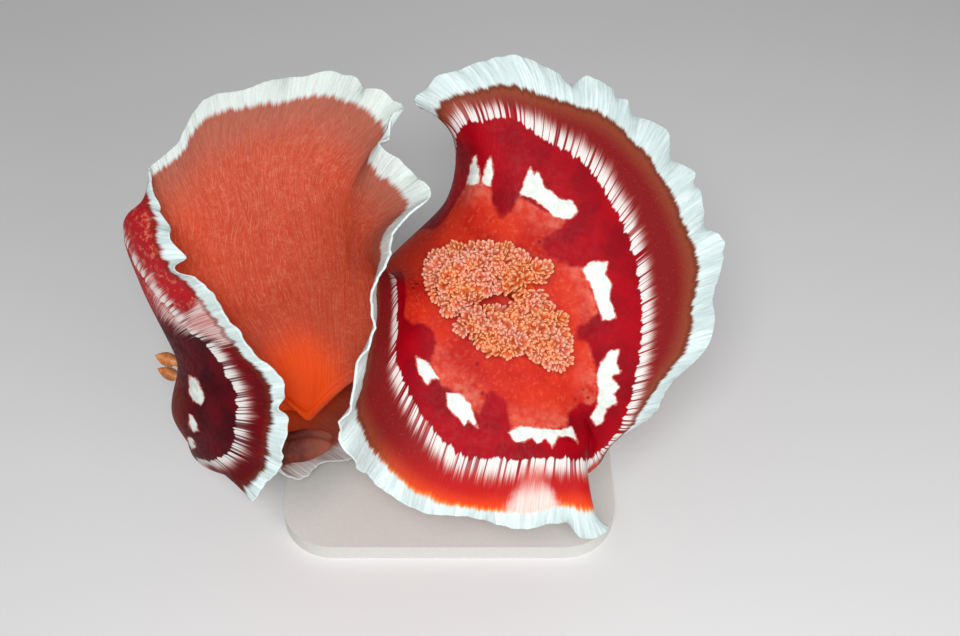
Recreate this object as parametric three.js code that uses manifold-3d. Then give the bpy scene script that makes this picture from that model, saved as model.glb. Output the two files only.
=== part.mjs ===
// Spanish dancer nudibranch, swimming, as a still life-size display model on a plain stand.
// Units are millimetres, +Z is up, and the origin is the centre of the stand's underside.
// The animal is described in its own pose frame: +X to the viewer's right, +Y up the
// picture, +Z towards the viewer. It is one thin mantle, whose ribs run from the middle line
// of the back out to the frilled margin, with the body and the foot below the middle line.
import * as THREE from 'three';
import { mergeVertices } from 'three/addons/utils/BufferGeometryUtils.js';
import Module from 'manifold-3d';

const wasm = await Module();
wasm.setup();

// Pose of the animal on its stand
const TILT = THREE.MathUtils.degToRad(45);
const ANIMAL_PLACE = [15, -12, 118];

// Gap that neighbouring pieces keep, and the one between the body and the mantle's root,
// which are divided differently along their curved meeting
const GAP = 0.3;
const ROOT_GAP = 0.45;

// Middle line of the back, from the head to the tail: place, direction of the back, half width
// of the body there, and its depth down to the sole
const SPINE = [
  [-123, -57, 2, -0.80, -0.60, 0.05, 9, 18],
  [-133, -40, -4, -1.00, -0.05, 0.00, 18, 30],
  [-128, -20, -18, -0.86, 0.51, 0.00, 21, 36],
  [-106, -10, -30, -0.50, 0.87, 0.00, 23, 36],
  [-74, -2, -34, 0.00, 1.00, 0.10, 24, 41],
  [-52, 15, -26, 0.00, 0.88, 0.47, 23, 37],
  [-32, 25, -14, -0.08, 0.55, 0.83, 22, 35],
  [-13, 23, 0, -0.02, 0.20, 0.98, 23, 34],
  [6, 6, 8, 0.00, 0.00, 1.00, 25, 32],
  [29, -19, 5, 0.03, -0.02, 1.00, 20, 26],
  [45, -43, -4, 0.15, -0.15, 0.97, 8, 14],
];
const LAST = SPINE.length - 1;

// Ribs of the mantle, from the tail along the left side to the front, and back along the
// right side: place along the spine, then the rib's middle and its end at the margin
const RIBS = [
  [10.00, 47, -65, -12, 42, -83, -30],
  [9.85, 45, -66, 6, 50, -91, 2],
  [9.40, 32, -62, 10, 30, -90, 6],
  [8.80, 12, -60, 11, 8, -86, 8],
  [8.20, -8, -51, 11, -17, -83, 12],
  [7.60, -24, -35, 12, -40, -70, 22],
  [7.10, -32, -18, 14, -53, -51, 42],
  [6.70, -34, -5, 18, -52, -37, 50],
  [6.30, -36, 7, 20, -45, -17, 52],
  [5.90, -40, 19, 20, -39, 13, 48],
  [5.50, -44, 26, 16, -35, 32, 42],
  [5.20, -50, 33, 10, -20, 48, 34],
  [4.90, -55, 37, 5, -39, 71, 24],
  [4.60, -62, 41, 2, -33, 85, 16],
  [4.30, -70, 43, 0, -48, 100, 10],
  [3.95, -82, 43, 0, -71, 103, 8],
  [3.60, -93, 41, 2, -94, 98, 8],
  [3.30, -104, 38, 4, -115, 91, 12],
  [3.05, -116, 35, 8, -126, 73, 18],
  [2.80, -131, 33, 13, -133, 56, 32],
  [2.50, -146, 33, 20, -124, 40, 44],
  [2.20, -140, 14, 22, -118, 24, 50],
  [1.90, -131, -3, 22, -105, 10, 54],
  [1.50, -120, -19, 24, -89, -12, 54],
  [1.10, -113, -33, 28, -77, -26, 52],
  [0.70, -112, -42, 26, -77, -46, 46],
  [0.35, -112, -50, 22, -82, -63, 38],
  [0.10, -115, -58, 14, -95, -72, 22],
  [0.00, -118, -64, 0, -106, -69, -12],
  [0.30, -129, -59, -26, -101, -67, -38],
  [0.90, -133, -46, -48, -84, -74, -50],
  [1.60, -128, -30, -68, -62, -65, -66],
  [2.50, -109, -24, -85, -44, -51, -84],
  [3.40, -84, -11, -92, -31, -27, -98],
  [4.30, -57, 9, -86, -21, 4, -102],
  [5.00, -34, 30, -74, -6, 34, -92],
  [5.50, -21, 46, -60, 6, 58, -76],
  [6.00, -13, 58, -41, 3, 83, -48],
  [6.35, -12, 62, -22, -13, 94, -22],
  [6.70, -7, 68, -6, -27, 91, 2],
  [7.00, -1, 71, 4, -17, 102, 6],
  [7.35, 13, 72, 8, 2, 111, 4],
  [7.70, 28, 68, 8, 28, 108, 0],
  [8.10, 44, 57, 8, 56, 99, -4],
  [8.50, 55, 40, 7, 82, 77, -8],
  [8.85, 60, 21, 6, 99, 50, -12],
  [9.15, 62, 3, 5, 106, 25, -14],
  [9.45, 62, -15, 3, 103, -1, -14],
  [9.70, 62, -30, 1, 91, -24, -14],
  [9.85, 61, -43, -2, 76, -42, -18],
  [9.95, 54, -57, -8, 61, -55, -28],
];
const RIB_COUNT = RIBS.length;
const FRONT_RIB = RIBS.findIndex((rib) => rib[0] === 0);

// The ribs near both ends fan out from sideways to straight along the body
const FAN_LENGTH = 1.4;
const FAN_POWER = 1.2;

// Thickness of the mantle at its margin and at its root, and the distance over which it grows
const MARGIN_THICK = 1.1;
const ROOT_THICK = 4.5;
const THICKENING = 60;

// How strongly a rib leaves the spine, as a share of its inner half
const START_PULL = 1.1;

// Frill of the mantle: waves across the sheet that grow towards the margin, drawn closer and
// wider apart in groups, and the scallops that the margin has on their crests
const FRILL_WAVES = 38;
const FRILL_GROUPS = 7;
const FRILL_SWAY = 1.4;
const FRILL_HEIGHT = 1.8;
const FRILL_WIDTH = 28;
const SCALLOP = 1.2;

// Body and foot
const FOOT_THICK = 5;
const FOOT_WIDTH = 0.82;
const WAIST_WIDTH = 0.8;
const FOOT_RIM = 2;
const FOOT_BULGE = 0.45;
const WAIST_HEIGHT = 0.4;

// Mouth: a slit across the front of the head, between the oral tentacles
const MOUTH_WIDTH = 9;
const MOUTH_OPENING = 1;
const MOUTH_DEPTH = 3;

// How finely the solids are divided
const SECTIONS = 48;
const COLUMNS_PER_SECTION = 3;
const MANTLE_ROWS = 6;
const MARGIN_CROWDING = 1.4;
const BACK_STEPS = 3;
const SLOWEST_PACE = 1.5;
const SHORTEST_EDGE = 0.04;
const SAME_POINT = 1e-4;

// Small steps over which directions are measured: along the spine, among the ribs, along a
// rib, among the sections, and along a flap
const SPINE_STEP = 0.02;
const RIB_STEP = 0.05;
const REACH_STEP = 0.01;
const SECTION_STEP = 0.1;
const FLAP_STEP = 0.05;
const WALK_STEPS = 10;

// Lengths of body and foot, cut across the spine, from the head to the tail
const BODY_LENGTHS = [
  ['head', 0, 15],
  ['neck', 15, 20],
  ['back_front', 20, 25],
  ['back_middle', 25, 30],
  ['back_rear', 30, 39],
  ['tail', 39, SECTIONS],
];
const FOOT_LENGTHS = [
  ['foot_front', 0, 15],
  ['foot_middle', 15, 30],
  ['foot_rear', 30, SECTIONS],
];

// Pieces of the mantle, as steps of the sections: from the tail, left side, front, right side
const MANTLE_PIECES = [
  ['mantle_tail', -6, 6],
  ['mantle_left_rear', 6, 16],
  ['mantle_left_neck', 16, 23],
  ['mantle_left_wing', 23, 33],
  ['mantle_left_cheek', 33, 43],
  ['mantle_front', 43, 54],
  ['mantle_right_cheek', 54, 63],
  ['mantle_right_wing', 63, 72],
  ['mantle_right_neck', 72, 79],
  ['mantle_right_rear', 79, 90],
];

// Rhinophores: place along the spine, distance from the middle line, and their sizes
const RHINOPHORE_ALONG = 1.75;
const RHINOPHORE_SPREAD = 8;
const RHINOPHORE_LENGTH = 13;
const RHINOPHORE_RADIUS = 3.2;
const RHINOPHORE_STALK = 1.7;
const RHINOPHORE_SINK = 4;
const RHINOPHORE_RIDGES = 6;
const RHINOPHORE_SIDES = 12;

// The club of a rhinophore as shares of its length, the shares of a half turn that its round
// outline runs through, and the depth of the grooves between the ridges
const CLUB_FROM = 0.3;
const CLUB_LENGTH = 0.6;
const CLUB_TURN_FROM = 0.3;
const CLUB_TURN_TO = 0.88;
const CLUB_GROOVE = 0.78;
const STALK_FLARE = 1.5;
const STALK_TO = 0.24;

// Oral tentacles, two broad flaps beside the mouth: root, elbow and tip of the left one, and
// how the right one is set off from it
const TENTACLE_ROOT = [-107, -50, 9];
const TENTACLE_ELBOW = [-90, -57, 10];
const TENTACLE_TIP = [-70, -54, 6];
const TENTACLE_OFFSET = [-2, 2, -18];
const TENTACLE_WIDTH = 9;
const TENTACLE_THICK = 2.4;
const TENTACLE_STEPS = 12;
const TENTACLE_SIDES = 10;
const TENTACLE_SCALLOPS = 4;
const TENTACLE_SCALLOP = 0.1;

// Shares of the full width at both ends of a tentacle and gained at its middle, of its last
// ring, and of the thickness lost towards the tip
const TENTACLE_END_WIDTH = 0.7;
const TENTACLE_BELLY = 0.6;
const TENTACLE_ROUNDING = 0.5;
const TENTACLE_TAPER = 0.45;

// Gills, six branched plumes in a ring round the anus: place along the spine and distance to
// the left of the middle line of each root, then how far the middle of its crown lies to the
// right of the ring's middle and above it
const GILL_RING = [7, 7.4];
const GILLS = [
  [7.36, 6, -20, 7.4],
  [7.59, -7, -4, 15.7],
  [8.12, -8.5, 12.4, 7],
  [8.65, -3, 21.5, -14.5],
  [8.44, 7, 6.6, -18.6],
  [8.0, 8.5, -7.8, -9],
];
const CROWN_HEIGHT = 9;
const STALK_RADIUS = 2.5;
const GILL_BRANCHES = 5;
const BRANCH_LENGTH = 8;
const BRANCH_RADIUS = 1.5;
const LEAVES = 2;
const LEAF_LENGTH = 5;
const LEAF_RADIUS = 1.5;
const LEAF_FAN = 1;
const LIMB_SIDES = 4;

// Shares along a limb of its widest ring, along a branch of its fork, and of the branch's own
// length that its stalk runs on into the crown; the root radius of a leaf as a share of the
// branch's; and how steeply the branches rise, the lowest ones and the one in the middle
const LIMB_WIDEST = 0.6;
const FORK_AT = 0.7;
const STALK_REACH = 0.4;
const LEAF_ROOT = 0.6;
const LOWEST_RISE = 0.15;
const RISE_SPREAD = 0.45;
const MIDDLE_RISE = 2;
const MIDDLE_LENGTH = 0.7;
const LEAF_RISE_SPREAD = 0.7;
const SEED = 101;

// Display stand
const BASE_LENGTH = 160;
const BASE_WIDTH = 110;
const BASE_THICK = 9;
const BASE_CORNER = 26;
const ROD_RADIUS = 3.5;
const ROD_SIDES = 20;
const RODS = [
  ['stand_rod_front', -7, 21],
  ['stand_rod_rear', 35, -2],
];

// Vectors as plain lists
const add = (a, b) => [a[0] + b[0], a[1] + b[1], a[2] + b[2]];
const sub = (a, b) => [a[0] - b[0], a[1] - b[1], a[2] - b[2]];
const times = (a, k) => [a[0] * k, a[1] * k, a[2] * k];
const dot = (a, b) => a[0] * b[0] + a[1] * b[1] + a[2] * b[2];
const cross = (a, b) => [
  a[1] * b[2] - a[2] * b[1],
  a[2] * b[0] - a[0] * b[2],
  a[0] * b[1] - a[1] * b[0],
];
const size = (a) => Math.hypot(a[0], a[1], a[2]);
const unit = (a) => times(a, 1 / size(a));
const between = (a, b, f) => a.map((value, i) => value + (b[i] - value) * f);
const clamp = THREE.MathUtils.clamp;
const smooth = (f) => THREE.MathUtils.smoothstep(f, 0, 1);

// Smooth curve through rows of numbers, at a place counted in rows
function curveThrough(rows, place, closed) {
  const count = rows.length;
  const first = closed ? Math.floor(place) : clamp(Math.floor(place), 0, count - 2);
  const f = place - first;
  const row = (i) => {
    if (closed) return rows[((i % count) + count) % count];
    if (i < 0) return rows[0].map((value, n) => 2 * value - rows[1][n]);
    if (i >= count) return rows[count - 1].map((value, n) => 2 * value - rows[count - 2][n]);
    return rows[i];
  };
  const [a, b, c, d] = [row(first - 1), row(first), row(first + 1), row(first + 2)];
  return b.map((value, n) => {
    const slope = c[n] - a[n];
    const bend = 2 * a[n] - 5 * value + 4 * c[n] - d[n];
    const twist = 3 * value - a[n] - 3 * c[n] + d[n];
    return 0.5 * (2 * value + slope * f + bend * f * f + twist * f * f * f);
  });
}

// Frame of the body at a place along the spine
function spineAt(along) {
  const row = curveThrough(SPINE, clamp(along, 0, LAST), false);
  const ahead = curveThrough(SPINE, clamp(along - SPINE_STEP, 0, LAST), false);
  const behind = curveThrough(SPINE, clamp(along + SPINE_STEP, 0, LAST), false);
  const head = unit(sub(ahead, behind));
  const up = unit(row.slice(3, 6));
  return { at: row.slice(0, 3), head, up, left: unit(cross(up, head)), half: row[6], depth: row[7] };
}

// Share of the way round one side, 0 at the front and 1 at the tail, for a place on the spine
const shareOf = (along) => Math.acos(1 - (2 * along) / LAST) / Math.PI;
const alongOf = (share) => (LAST * (1 - Math.cos(share * Math.PI))) / 2;
const RIB_SHARES = RIBS.map((rib) => shareOf(rib[0]));
const ribShare = (i) => RIB_SHARES[i % RIB_COUNT];

// Place among the ribs of a step round the mantle, where whole steps are the body's sections
function placeOf(step) {
  const round = ((step % (2 * SECTIONS)) + 2 * SECTIONS) % (2 * SECTIONS);
  const left = round <= SECTIONS;
  const share = left ? 1 - round / SECTIONS : round / SECTIONS - 1;
  const from = left ? 0 : FRONT_RIB;
  const to = left ? FRONT_RIB : RIB_COUNT;
  for (let i = from; i < to; i += 1) {
    const a = ribShare(i);
    const b = ribShare(i + 1);
    if (share >= Math.min(a, b) && share <= Math.max(a, b)) return i + (share - a) / (b - a);
  }
  return from;
}

// Body frame at a place among the ribs, with the direction in which the rib leaves the spine
function ribStart(place) {
  const round = ((place % RIB_COUNT) + RIB_COUNT) % RIB_COUNT;
  const i = Math.floor(round);
  const share = ribShare(i) + (ribShare(i + 1) - ribShare(i)) * (round - i);
  const along = alongOf(share);
  const frame = spineAt(along);
  const side = round < FRONT_RIB ? 1 : -1;
  const tailFan = clamp((along - (LAST - FAN_LENGTH)) / FAN_LENGTH, 0, 1);
  const frontFan = clamp((FAN_LENGTH - along) / FAN_LENGTH, 0, 1);
  const tailTurn = (tailFan ** FAN_POWER * Math.PI) / 2;
  const frontTurn = (frontFan ** FAN_POWER * Math.PI) / 2;
  const sideways = times(frame.left, side * Math.cos(tailTurn) * Math.cos(frontTurn));
  const endways = times(frame.head, Math.sin(frontTurn) - Math.sin(tailTurn));
  return { ...frame, out: unit(add(sideways, endways)) };
}

// Middle, end and first half length of every rib
const RIB_FORMS = RIBS.map((rib, i) => {
  const middle = rib.slice(1, 4);
  const end = rib.slice(4, 7);
  return [...middle, ...end, size(sub(middle, ribStart(i).at))];
});

function ribAt(place) {
  const row = curveThrough(RIB_FORMS, place, true);
  return { start: ribStart(place), middle: row.slice(0, 3), end: row.slice(3, 6), reach: row[6] };
}

// Point of the bare mantle: reach 0 is the spine, 0.5 the rib's middle and 1 the margin
function ribPoint(rib, reach) {
  const whole = times(sub(rib.end, rib.start.at), 0.5);
  const inner = reach <= 0.5;
  const f = inner ? reach * 2 : reach * 2 - 1;
  const a = inner ? rib.start.at : rib.middle;
  const b = inner ? rib.middle : rib.end;
  const leave = inner ? times(rib.start.out, rib.reach * START_PULL) : whole;
  const arrive = inner ? whole : sub(times(sub(rib.end, rib.middle), 2), whole);
  const f2 = f * f;
  const f3 = f2 * f;
  return a.map((value, n) => value * (2 * f3 - 3 * f2 + 1) + leave[n] * (f3 - 2 * f2 + f)
    + b[n] * (3 * f2 - 2 * f3) + arrive[n] * (f3 - f2));
}

// Share of the margin's length that lies before a place, from a walk along the margin
const WALK = [0];
for (let i = 0; i < RIB_COUNT * WALK_STEPS; i += 1) {
  const [here, next] = [ribAt(i / WALK_STEPS).end, ribAt((i + 1) / WALK_STEPS).end];
  WALK.push(WALK[i] + size(sub(next, here)));
}

function marginShare(place) {
  const round = (((place % RIB_COUNT) + RIB_COUNT) % RIB_COUNT) * WALK_STEPS;
  const i = Math.floor(round);
  return (WALK[i] + (WALK[i + 1] - WALK[i]) * (round - i)) / WALK[WALK.length - 1];
}

// Wave of the frill at a place, from -1 to 1, and its fading away from the margin
function frillWave(place) {
  const round = marginShare(place) * 2 * Math.PI;
  return Math.sin(FRILL_WAVES * round + FRILL_SWAY * Math.sin(FRILL_GROUPS * round));
}
const frillFade = (toMargin) => clamp(1 - toMargin / FRILL_WIDTH, 0, 1) ** 2;

// Upper and lower point of the mantle at a place and reach
function mantlePair(place, reach) {
  const rib = ribAt(place);
  const toMargin = marginDistance(rib, reach);
  const wave = frillWave(place) * frillFade(toMargin);
  const outerHalf = size(sub(rib.end, rib.middle));
  const point = ribPoint(rib, reach + (0.5 * SCALLOP * wave) / outerHalf);
  const before = ribPoint(ribAt(place - RIB_STEP), reach);
  const after = ribPoint(ribAt(place + RIB_STEP), reach);
  const inner = ribPoint(rib, Math.max(reach - REACH_STEP, 0));
  const outer = ribPoint(rib, Math.min(reach + REACH_STEP, 1));
  const around = sub(after, before);
  const normal = unit(cross(around, sub(outer, inner)));
  const top = add(point, times(normal, FRILL_HEIGHT * wave));
  const thick = MARGIN_THICK + (ROOT_THICK - MARGIN_THICK) * smooth(toMargin / THICKENING);
  const stride = size(around) / (2 * RIB_STEP);
  return { top, under: sub(top, times(normal, thick)), normal, rib, stride };
}

// Distance to the margin along a rib
function marginDistance(rib, reach) {
  const outerHalf = size(sub(rib.end, rib.middle));
  return reach >= 0.5 ? (1 - reach) * 2 * outerHalf : outerHalf + (1 - 2 * reach) * rib.reach;
}

// Reach at which the mantle leaves the body
const rootReach = (rib) => (0.5 * rib.start.half) / rib.reach;

// Closed solid from a grid of upper points and one of lower points, both [column][row]
function sheetSolid(top, under) {
  const columns = top.length;
  const rows = top[0].length;
  const points = [...top.flat(), ...under.flat()];
  const t = (i, j) => i * rows + j;
  const u = (i, j) => (columns + i) * rows + j;
  const faces = [];
  const quad = (a, b, c, d) => faces.push([a, b, c], [a, c, d]);
  for (let i = 0; i < columns - 1; i += 1) {
    for (let j = 0; j < rows - 1; j += 1) {
      quad(t(i, j), t(i + 1, j), t(i + 1, j + 1), t(i, j + 1));
      faces.push([u(i, j), u(i + 1, j + 1), u(i + 1, j)], [u(i, j), u(i, j + 1), u(i + 1, j + 1)]);
    }
    quad(t(i, 0), u(i, 0), u(i + 1, 0), t(i + 1, 0));
    quad(t(i, rows - 1), t(i + 1, rows - 1), u(i + 1, rows - 1), u(i, rows - 1));
  }
  for (let j = 0; j < rows - 1; j += 1) {
    quad(t(0, j), t(0, j + 1), u(0, j + 1), u(0, j));
    quad(t(columns - 1, j), u(columns - 1, j), u(columns - 1, j + 1), t(columns - 1, j + 1));
  }
  return geometryFrom(points, faces);
}

// Closed solid through rings of points; an end whose ring folds onto a line closes by itself.
// Crossed puts the faces' diagonals the other way, as a piece needs that lies on another one
function loftSolid(rings, crossed = false) {
  const sides = rings[0].length;
  const points = rings.flat();
  const faces = [];
  for (let i = 0; i < rings.length - 1; i += 1) {
    for (let j = 0; j < sides; j += 1) {
      const next = (j + 1) % sides;
      const [a, b, c, d] = [i * sides + j, i * sides + next, (i + 1) * sides + next, (i + 1) * sides + j];
      if (crossed) faces.push([a, d, b], [b, d, c]);
      else faces.push([a, c, b], [a, d, c]);
    }
  }
  const capped = (ring) => size(sub(ring[0], ring[sides - 2])) > GAP;
  const cap = (index, turn) => {
    const ring = rings[index];
    points.push(times(ring.reduce(add), 1 / sides));
    for (let j = 0; j < sides; j += 1) {
      const a = index * sides + j;
      const b = index * sides + ((j + 1) % sides);
      faces.push(turn ? [points.length - 1, b, a] : [points.length - 1, a, b]);
    }
  };
  if (capped(rings[0])) cap(0, false);
  if (capped(rings[rings.length - 1])) cap(rings.length - 1, true);
  return geometryFrom(points, faces);
}

// Geometry with shared corners, without the faces that have shrunk to a line
function geometryFrom(points, faces) {
  const loose = new THREE.BufferGeometry();
  loose.setAttribute('position', new THREE.Float32BufferAttribute(points.flat(), 3));
  loose.setIndex(faces.flat());
  const merged = mergeVertices(loose, SAME_POINT);
  const index = merged.index.array;
  const kept = [];
  for (let i = 0; i < index.length; i += 3) {
    const [a, b, c] = [index[i], index[i + 1], index[i + 2]];
    if (a !== b && b !== c && c !== a) kept.push(a, b, c);
  }
  merged.setIndex(kept);
  return merged;
}

// Solid for joining and cutting, and back
function solidOf(geometry) {
  const plain = geometry.index ? geometry.clone() : geometry;
  plain.deleteAttribute('normal');
  plain.deleteAttribute('uv');
  const merged = mergeVertices(plain, SAME_POINT);
  return new wasm.Manifold(new wasm.Mesh({
    numProp: 3,
    vertProperties: new Float32Array(merged.attributes.position.array),
    triVerts: new Uint32Array(merged.index.array),
  }));
}

// The largest closed surface of a solid
function geometryOf(solid) {
  const pieces = solid.decompose();
  const largest = pieces.reduce((a, b) => (b.volume() > a.volume() ? b : a));
  const mesh = largest.getMesh();
  const points = [];
  for (let i = 0; i < mesh.vertProperties.length; i += 3) {
    points.push(Array.from(mesh.vertProperties.slice(i, i + 3)));
  }
  return geometryFrom(points, collapsed(points, Array.from(mesh.triVerts)));
}

// Faces after every edge shorter than the smallest one has shrunk to a point, without the
// pairs of faces that come to lie on one another
function collapsed(points, corners) {
  const target = points.map((point, i) => i);
  const kept = (i) => {
    let last = i;
    while (target[last] !== last) last = target[last];
    return last;
  };
  for (let i = 0; i < corners.length; i += 1) {
    const a = kept(corners[i]);
    const b = kept(corners[i % 3 === 2 ? i - 2 : i + 1]);
    if (a !== b && size(sub(points[a], points[b])) < SHORTEST_EDGE) target[b] = a;
  }
  const faces = new Map();
  for (let i = 0; i < corners.length; i += 3) {
    const face = corners.slice(i, i + 3).map(kept);
    const name = [...face].sort((a, b) => a - b).join();
    if (faces.has(name)) faces.delete(name);
    else faces.set(name, face);
  }
  return [...faces.values()];
}

// Materials
const paint = (color, roughness, metalness = 0) => new THREE.MeshStandardMaterial({
  color,
  roughness,
  metalness,
});
const CRIMSON = paint(0xb80f14, 0.4);
const SKIN = paint(0xd84a26, 0.45);
const UNDERSIDE = paint(0xd0623c, 0.5);
const GILL = paint(0xe88a5a, 0.4);
const HORN = paint(0xc98a3c, 0.5);
const STEEL = paint(0xb9bcc0, 0.3, 1);
const BASE = paint(0xd9d7d2, 0.55);

function part(name, geometry, material) {
  const mesh = new THREE.Mesh(geometry, material);
  mesh.name = name;
  return mesh;
}

// Half of a section of the body, from the middle of the back over one root of the mantle down
// to the middle of the foot; the foot's own section starts below it
function halfSection(step, shift) {
  const place = placeOf(step + shift);
  const rib = ribAt(place);
  const root = rootReach(rib);
  const back = [];
  for (let i = 0; i < BACK_STEPS; i += 1) back.push(ribPoint(rib, (root * i) / BACK_STEPS));
  const edge = mantlePair(place, root);
  const { at, up, out, half, depth } = rib.start;
  const floor = (height, width) => add(add(at, times(up, height - depth)), times(out, width));
  const waist = floor(depth * WAIST_HEIGHT, half * WAIST_WIDTH);
  return {
    back: [...back, edge.top, edge.under, waist, floor(FOOT_THICK + GAP, half * FOOT_WIDTH)],
    bodyFloor: floor(FOOT_THICK + GAP, 0),
    foot: [
      floor(FOOT_THICK, half * FOOT_WIDTH),
      floor(FOOT_THICK * FOOT_BULGE, half * FOOT_WIDTH + FOOT_RIM),
      floor(0, half * FOOT_WIDTH),
    ],
    footRoof: floor(FOOT_THICK, 0),
    sole: floor(0, 0),
  };
}

// Whole sections of body and foot, as rings that run from the left side to the right one
function sectionRings(level, shift) {
  const left = halfSection(SECTIONS - level, -shift);
  const right = halfSection(SECTIONS + level, shift);
  const middle = left.back[0];
  const body = [...left.back.slice(1).reverse(), middle, ...right.back.slice(1), left.bodyFloor];
  const foot = [...left.foot.slice().reverse(), left.footRoof, ...right.foot, left.sole];
  return { body, foot };
}

// Rings of the sections between two levels, kept half a gap away from a cut at either end.
// The cut follows the point of the ring that moves least from one section to the next
function ringsBetween(kind, from, to) {
  const nudge = (level) => {
    const here = sectionRings(level, 0)[kind];
    const there = sectionRings(level, SECTION_STEP)[kind];
    const pace = Math.min(...here.map((point, i) => size(sub(there[i], point)) / SECTION_STEP));
    return (0.5 * GAP) / Math.max(pace, SLOWEST_PACE);
  };
  const rings = [];
  for (let level = from; level <= to; level += 1) {
    let shift = 0;
    if (level === from && from > 0) shift = nudge(from);
    if (level === to && to < SECTIONS) shift = -nudge(to);
    rings.push(sectionRings(level, shift)[kind]);
  }
  return rings;
}

const bodyPiece = (from, to) => loftSolid(ringsBetween('body', from, to));
const footPiece = (from, to) => loftSolid(ringsBetween('foot', from, to), true);

// One column of a mantle piece, kept half a gap away from a cut when side is -1 or 1
function mantleColumn(step, side) {
  const place = placeOf(step);
  const rib = ribAt(place);
  const from = rootReach(rib) + (0.5 * ROOT_GAP) / rib.reach;
  const top = [];
  const under = [];
  for (let j = 0; j <= MANTLE_ROWS; j += 1) {
    const reach = 1 - (1 - from) * (1 - j / MANTLE_ROWS) ** MARGIN_CROWDING;
    const straight = mantlePair(place, reach);
    const moved = side ? mantlePair(place + (side * 0.5 * GAP) / straight.stride, reach) : straight;
    top.push(moved.top);
    under.push(moved.under);
  }
  return { top, under };
}

function mantlePiece(from, to) {
  const top = [];
  const under = [];
  const whole = [];
  for (let step = from; step <= to; step += 1) {
    const side = step === from ? 1 : step === to ? -1 : 0;
    whole.push(mantleColumn(step, side));
  }
  for (let i = 0; i < whole.length; i += 1) {
    top.push(whole[i].top);
    under.push(whole[i].under);
    for (let n = 1; n < COLUMNS_PER_SECTION && i < whole.length - 1; n += 1) {
      const f = n / COLUMNS_PER_SECTION;
      const column = mantleColumn(from + i + f, 0);
      column.top[0] = between(whole[i].top[0], whole[i + 1].top[0], f);
      column.under[0] = between(whole[i].under[0], whole[i + 1].under[0], f);
      top.push(column.top);
      under.push(column.under);
    }
  }
  return sheetSolid(top, under);
}

// What is left of a solid outside the pieces that carry it, a gap away along a direction
function cutClear(solid, carriers, direction) {
  return carriers.reduce((rest, carrier) => {
    const moved = carrier.clone().translate(...times(direction, GAP));
    return rest.subtract(solidOf(carrier)).subtract(solidOf(moved));
  }, solid);
}

// Turned form on a point of the back, cut clear of the piece that carries it
function standOn(geometry, foot, axis, carrier) {
  const turn = new THREE.Quaternion().setFromUnitVectors(
    new THREE.Vector3(0, 1, 0),
    new THREE.Vector3(...axis),
  );
  const placed = geometry.clone().applyQuaternion(turn).translate(...foot);
  return geometryOf(cutClear(solidOf(placed), [carrier], axis));
}

// Point of the back and its direction, at a distance out from the middle line
function backPoint(along, side, spread) {
  const share = shareOf(along);
  const place = placeOf(side > 0 ? SECTIONS * (1 - share) : SECTIONS * (1 + share));
  const rib = ribAt(place);
  const pair = mantlePair(place, (0.5 * spread) / rib.reach);
  return { at: pair.top, normal: pair.normal };
}

// Club on a stalk, with the ridges of its leaflets round the club
function rhinophore() {
  const clubLength = CLUB_LENGTH * RHINOPHORE_LENGTH;
  const points = [
    [0, -RHINOPHORE_SINK],
    [RHINOPHORE_STALK * STALK_FLARE, -RHINOPHORE_SINK],
    [RHINOPHORE_STALK, STALK_TO * RHINOPHORE_LENGTH],
  ];
  for (let i = 0; i < RHINOPHORE_RIDGES; i += 1) {
    const f = i / (RHINOPHORE_RIDGES - 1);
    const turn = Math.PI * (CLUB_TURN_FROM + (CLUB_TURN_TO - CLUB_TURN_FROM) * f);
    const radius = RHINOPHORE_RADIUS * Math.sin(turn);
    const y = CLUB_FROM * RHINOPHORE_LENGTH + clubLength * f;
    points.push([radius, y], [radius * CLUB_GROOVE, y + (0.5 * clubLength) / RHINOPHORE_RIDGES]);
  }
  points.push([0, RHINOPHORE_LENGTH]);
  return new THREE.LatheGeometry(points.map(([x, y]) => new THREE.Vector2(x, y)), RHINOPHORE_SIDES);
}

// Broad flap with a scalloped rim that grows out beside the mouth
function oralTentacle(offset) {
  const rows = [TENTACLE_ROOT, TENTACLE_ELBOW, TENTACLE_TIP].map((point) => add(point, offset));
  const rings = [];
  for (let i = 0; i <= TENTACLE_STEPS; i += 1) {
    const f = i / TENTACLE_STEPS;
    const at = curveThrough(rows, f * 2, false);
    const before = curveThrough(rows, f * 2 - FLAP_STEP, false);
    const after = curveThrough(rows, f * 2 + FLAP_STEP, false);
    const run = unit(sub(after, before));
    const broad = unit(sub([0, 1, 0], times(run, dot([0, 1, 0], run))));
    const scallop = 1 + TENTACLE_SCALLOP * Math.sin(2 * Math.PI * TENTACLE_SCALLOPS * f);
    const rounding = i === TENTACLE_STEPS ? TENTACLE_ROUNDING : 1;
    const belly = TENTACLE_END_WIDTH + TENTACLE_BELLY * Math.sin(Math.PI * f);
    const width = (TENTACLE_WIDTH / 2) * belly * scallop * rounding;
    const thick = (TENTACLE_THICK / 2) * (1 - TENTACLE_TAPER * f);
    rings.push(ringAround(at, run, broad, width, thick, TENTACLE_SIDES));
  }
  return loftSolid(rings);
}

// Ring of points round a line that runs on through it
function ringAround(at, run, broad, width, thick, sides) {
  const thin = cross(run, broad);
  const ring = [];
  for (let j = 0; j < sides; j += 1) {
    const turn = (-2 * Math.PI * j) / sides;
    ring.push(add(at, add(times(broad, width * Math.cos(turn)), times(thin, thick * Math.sin(turn)))));
  }
  return ring;
}

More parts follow.
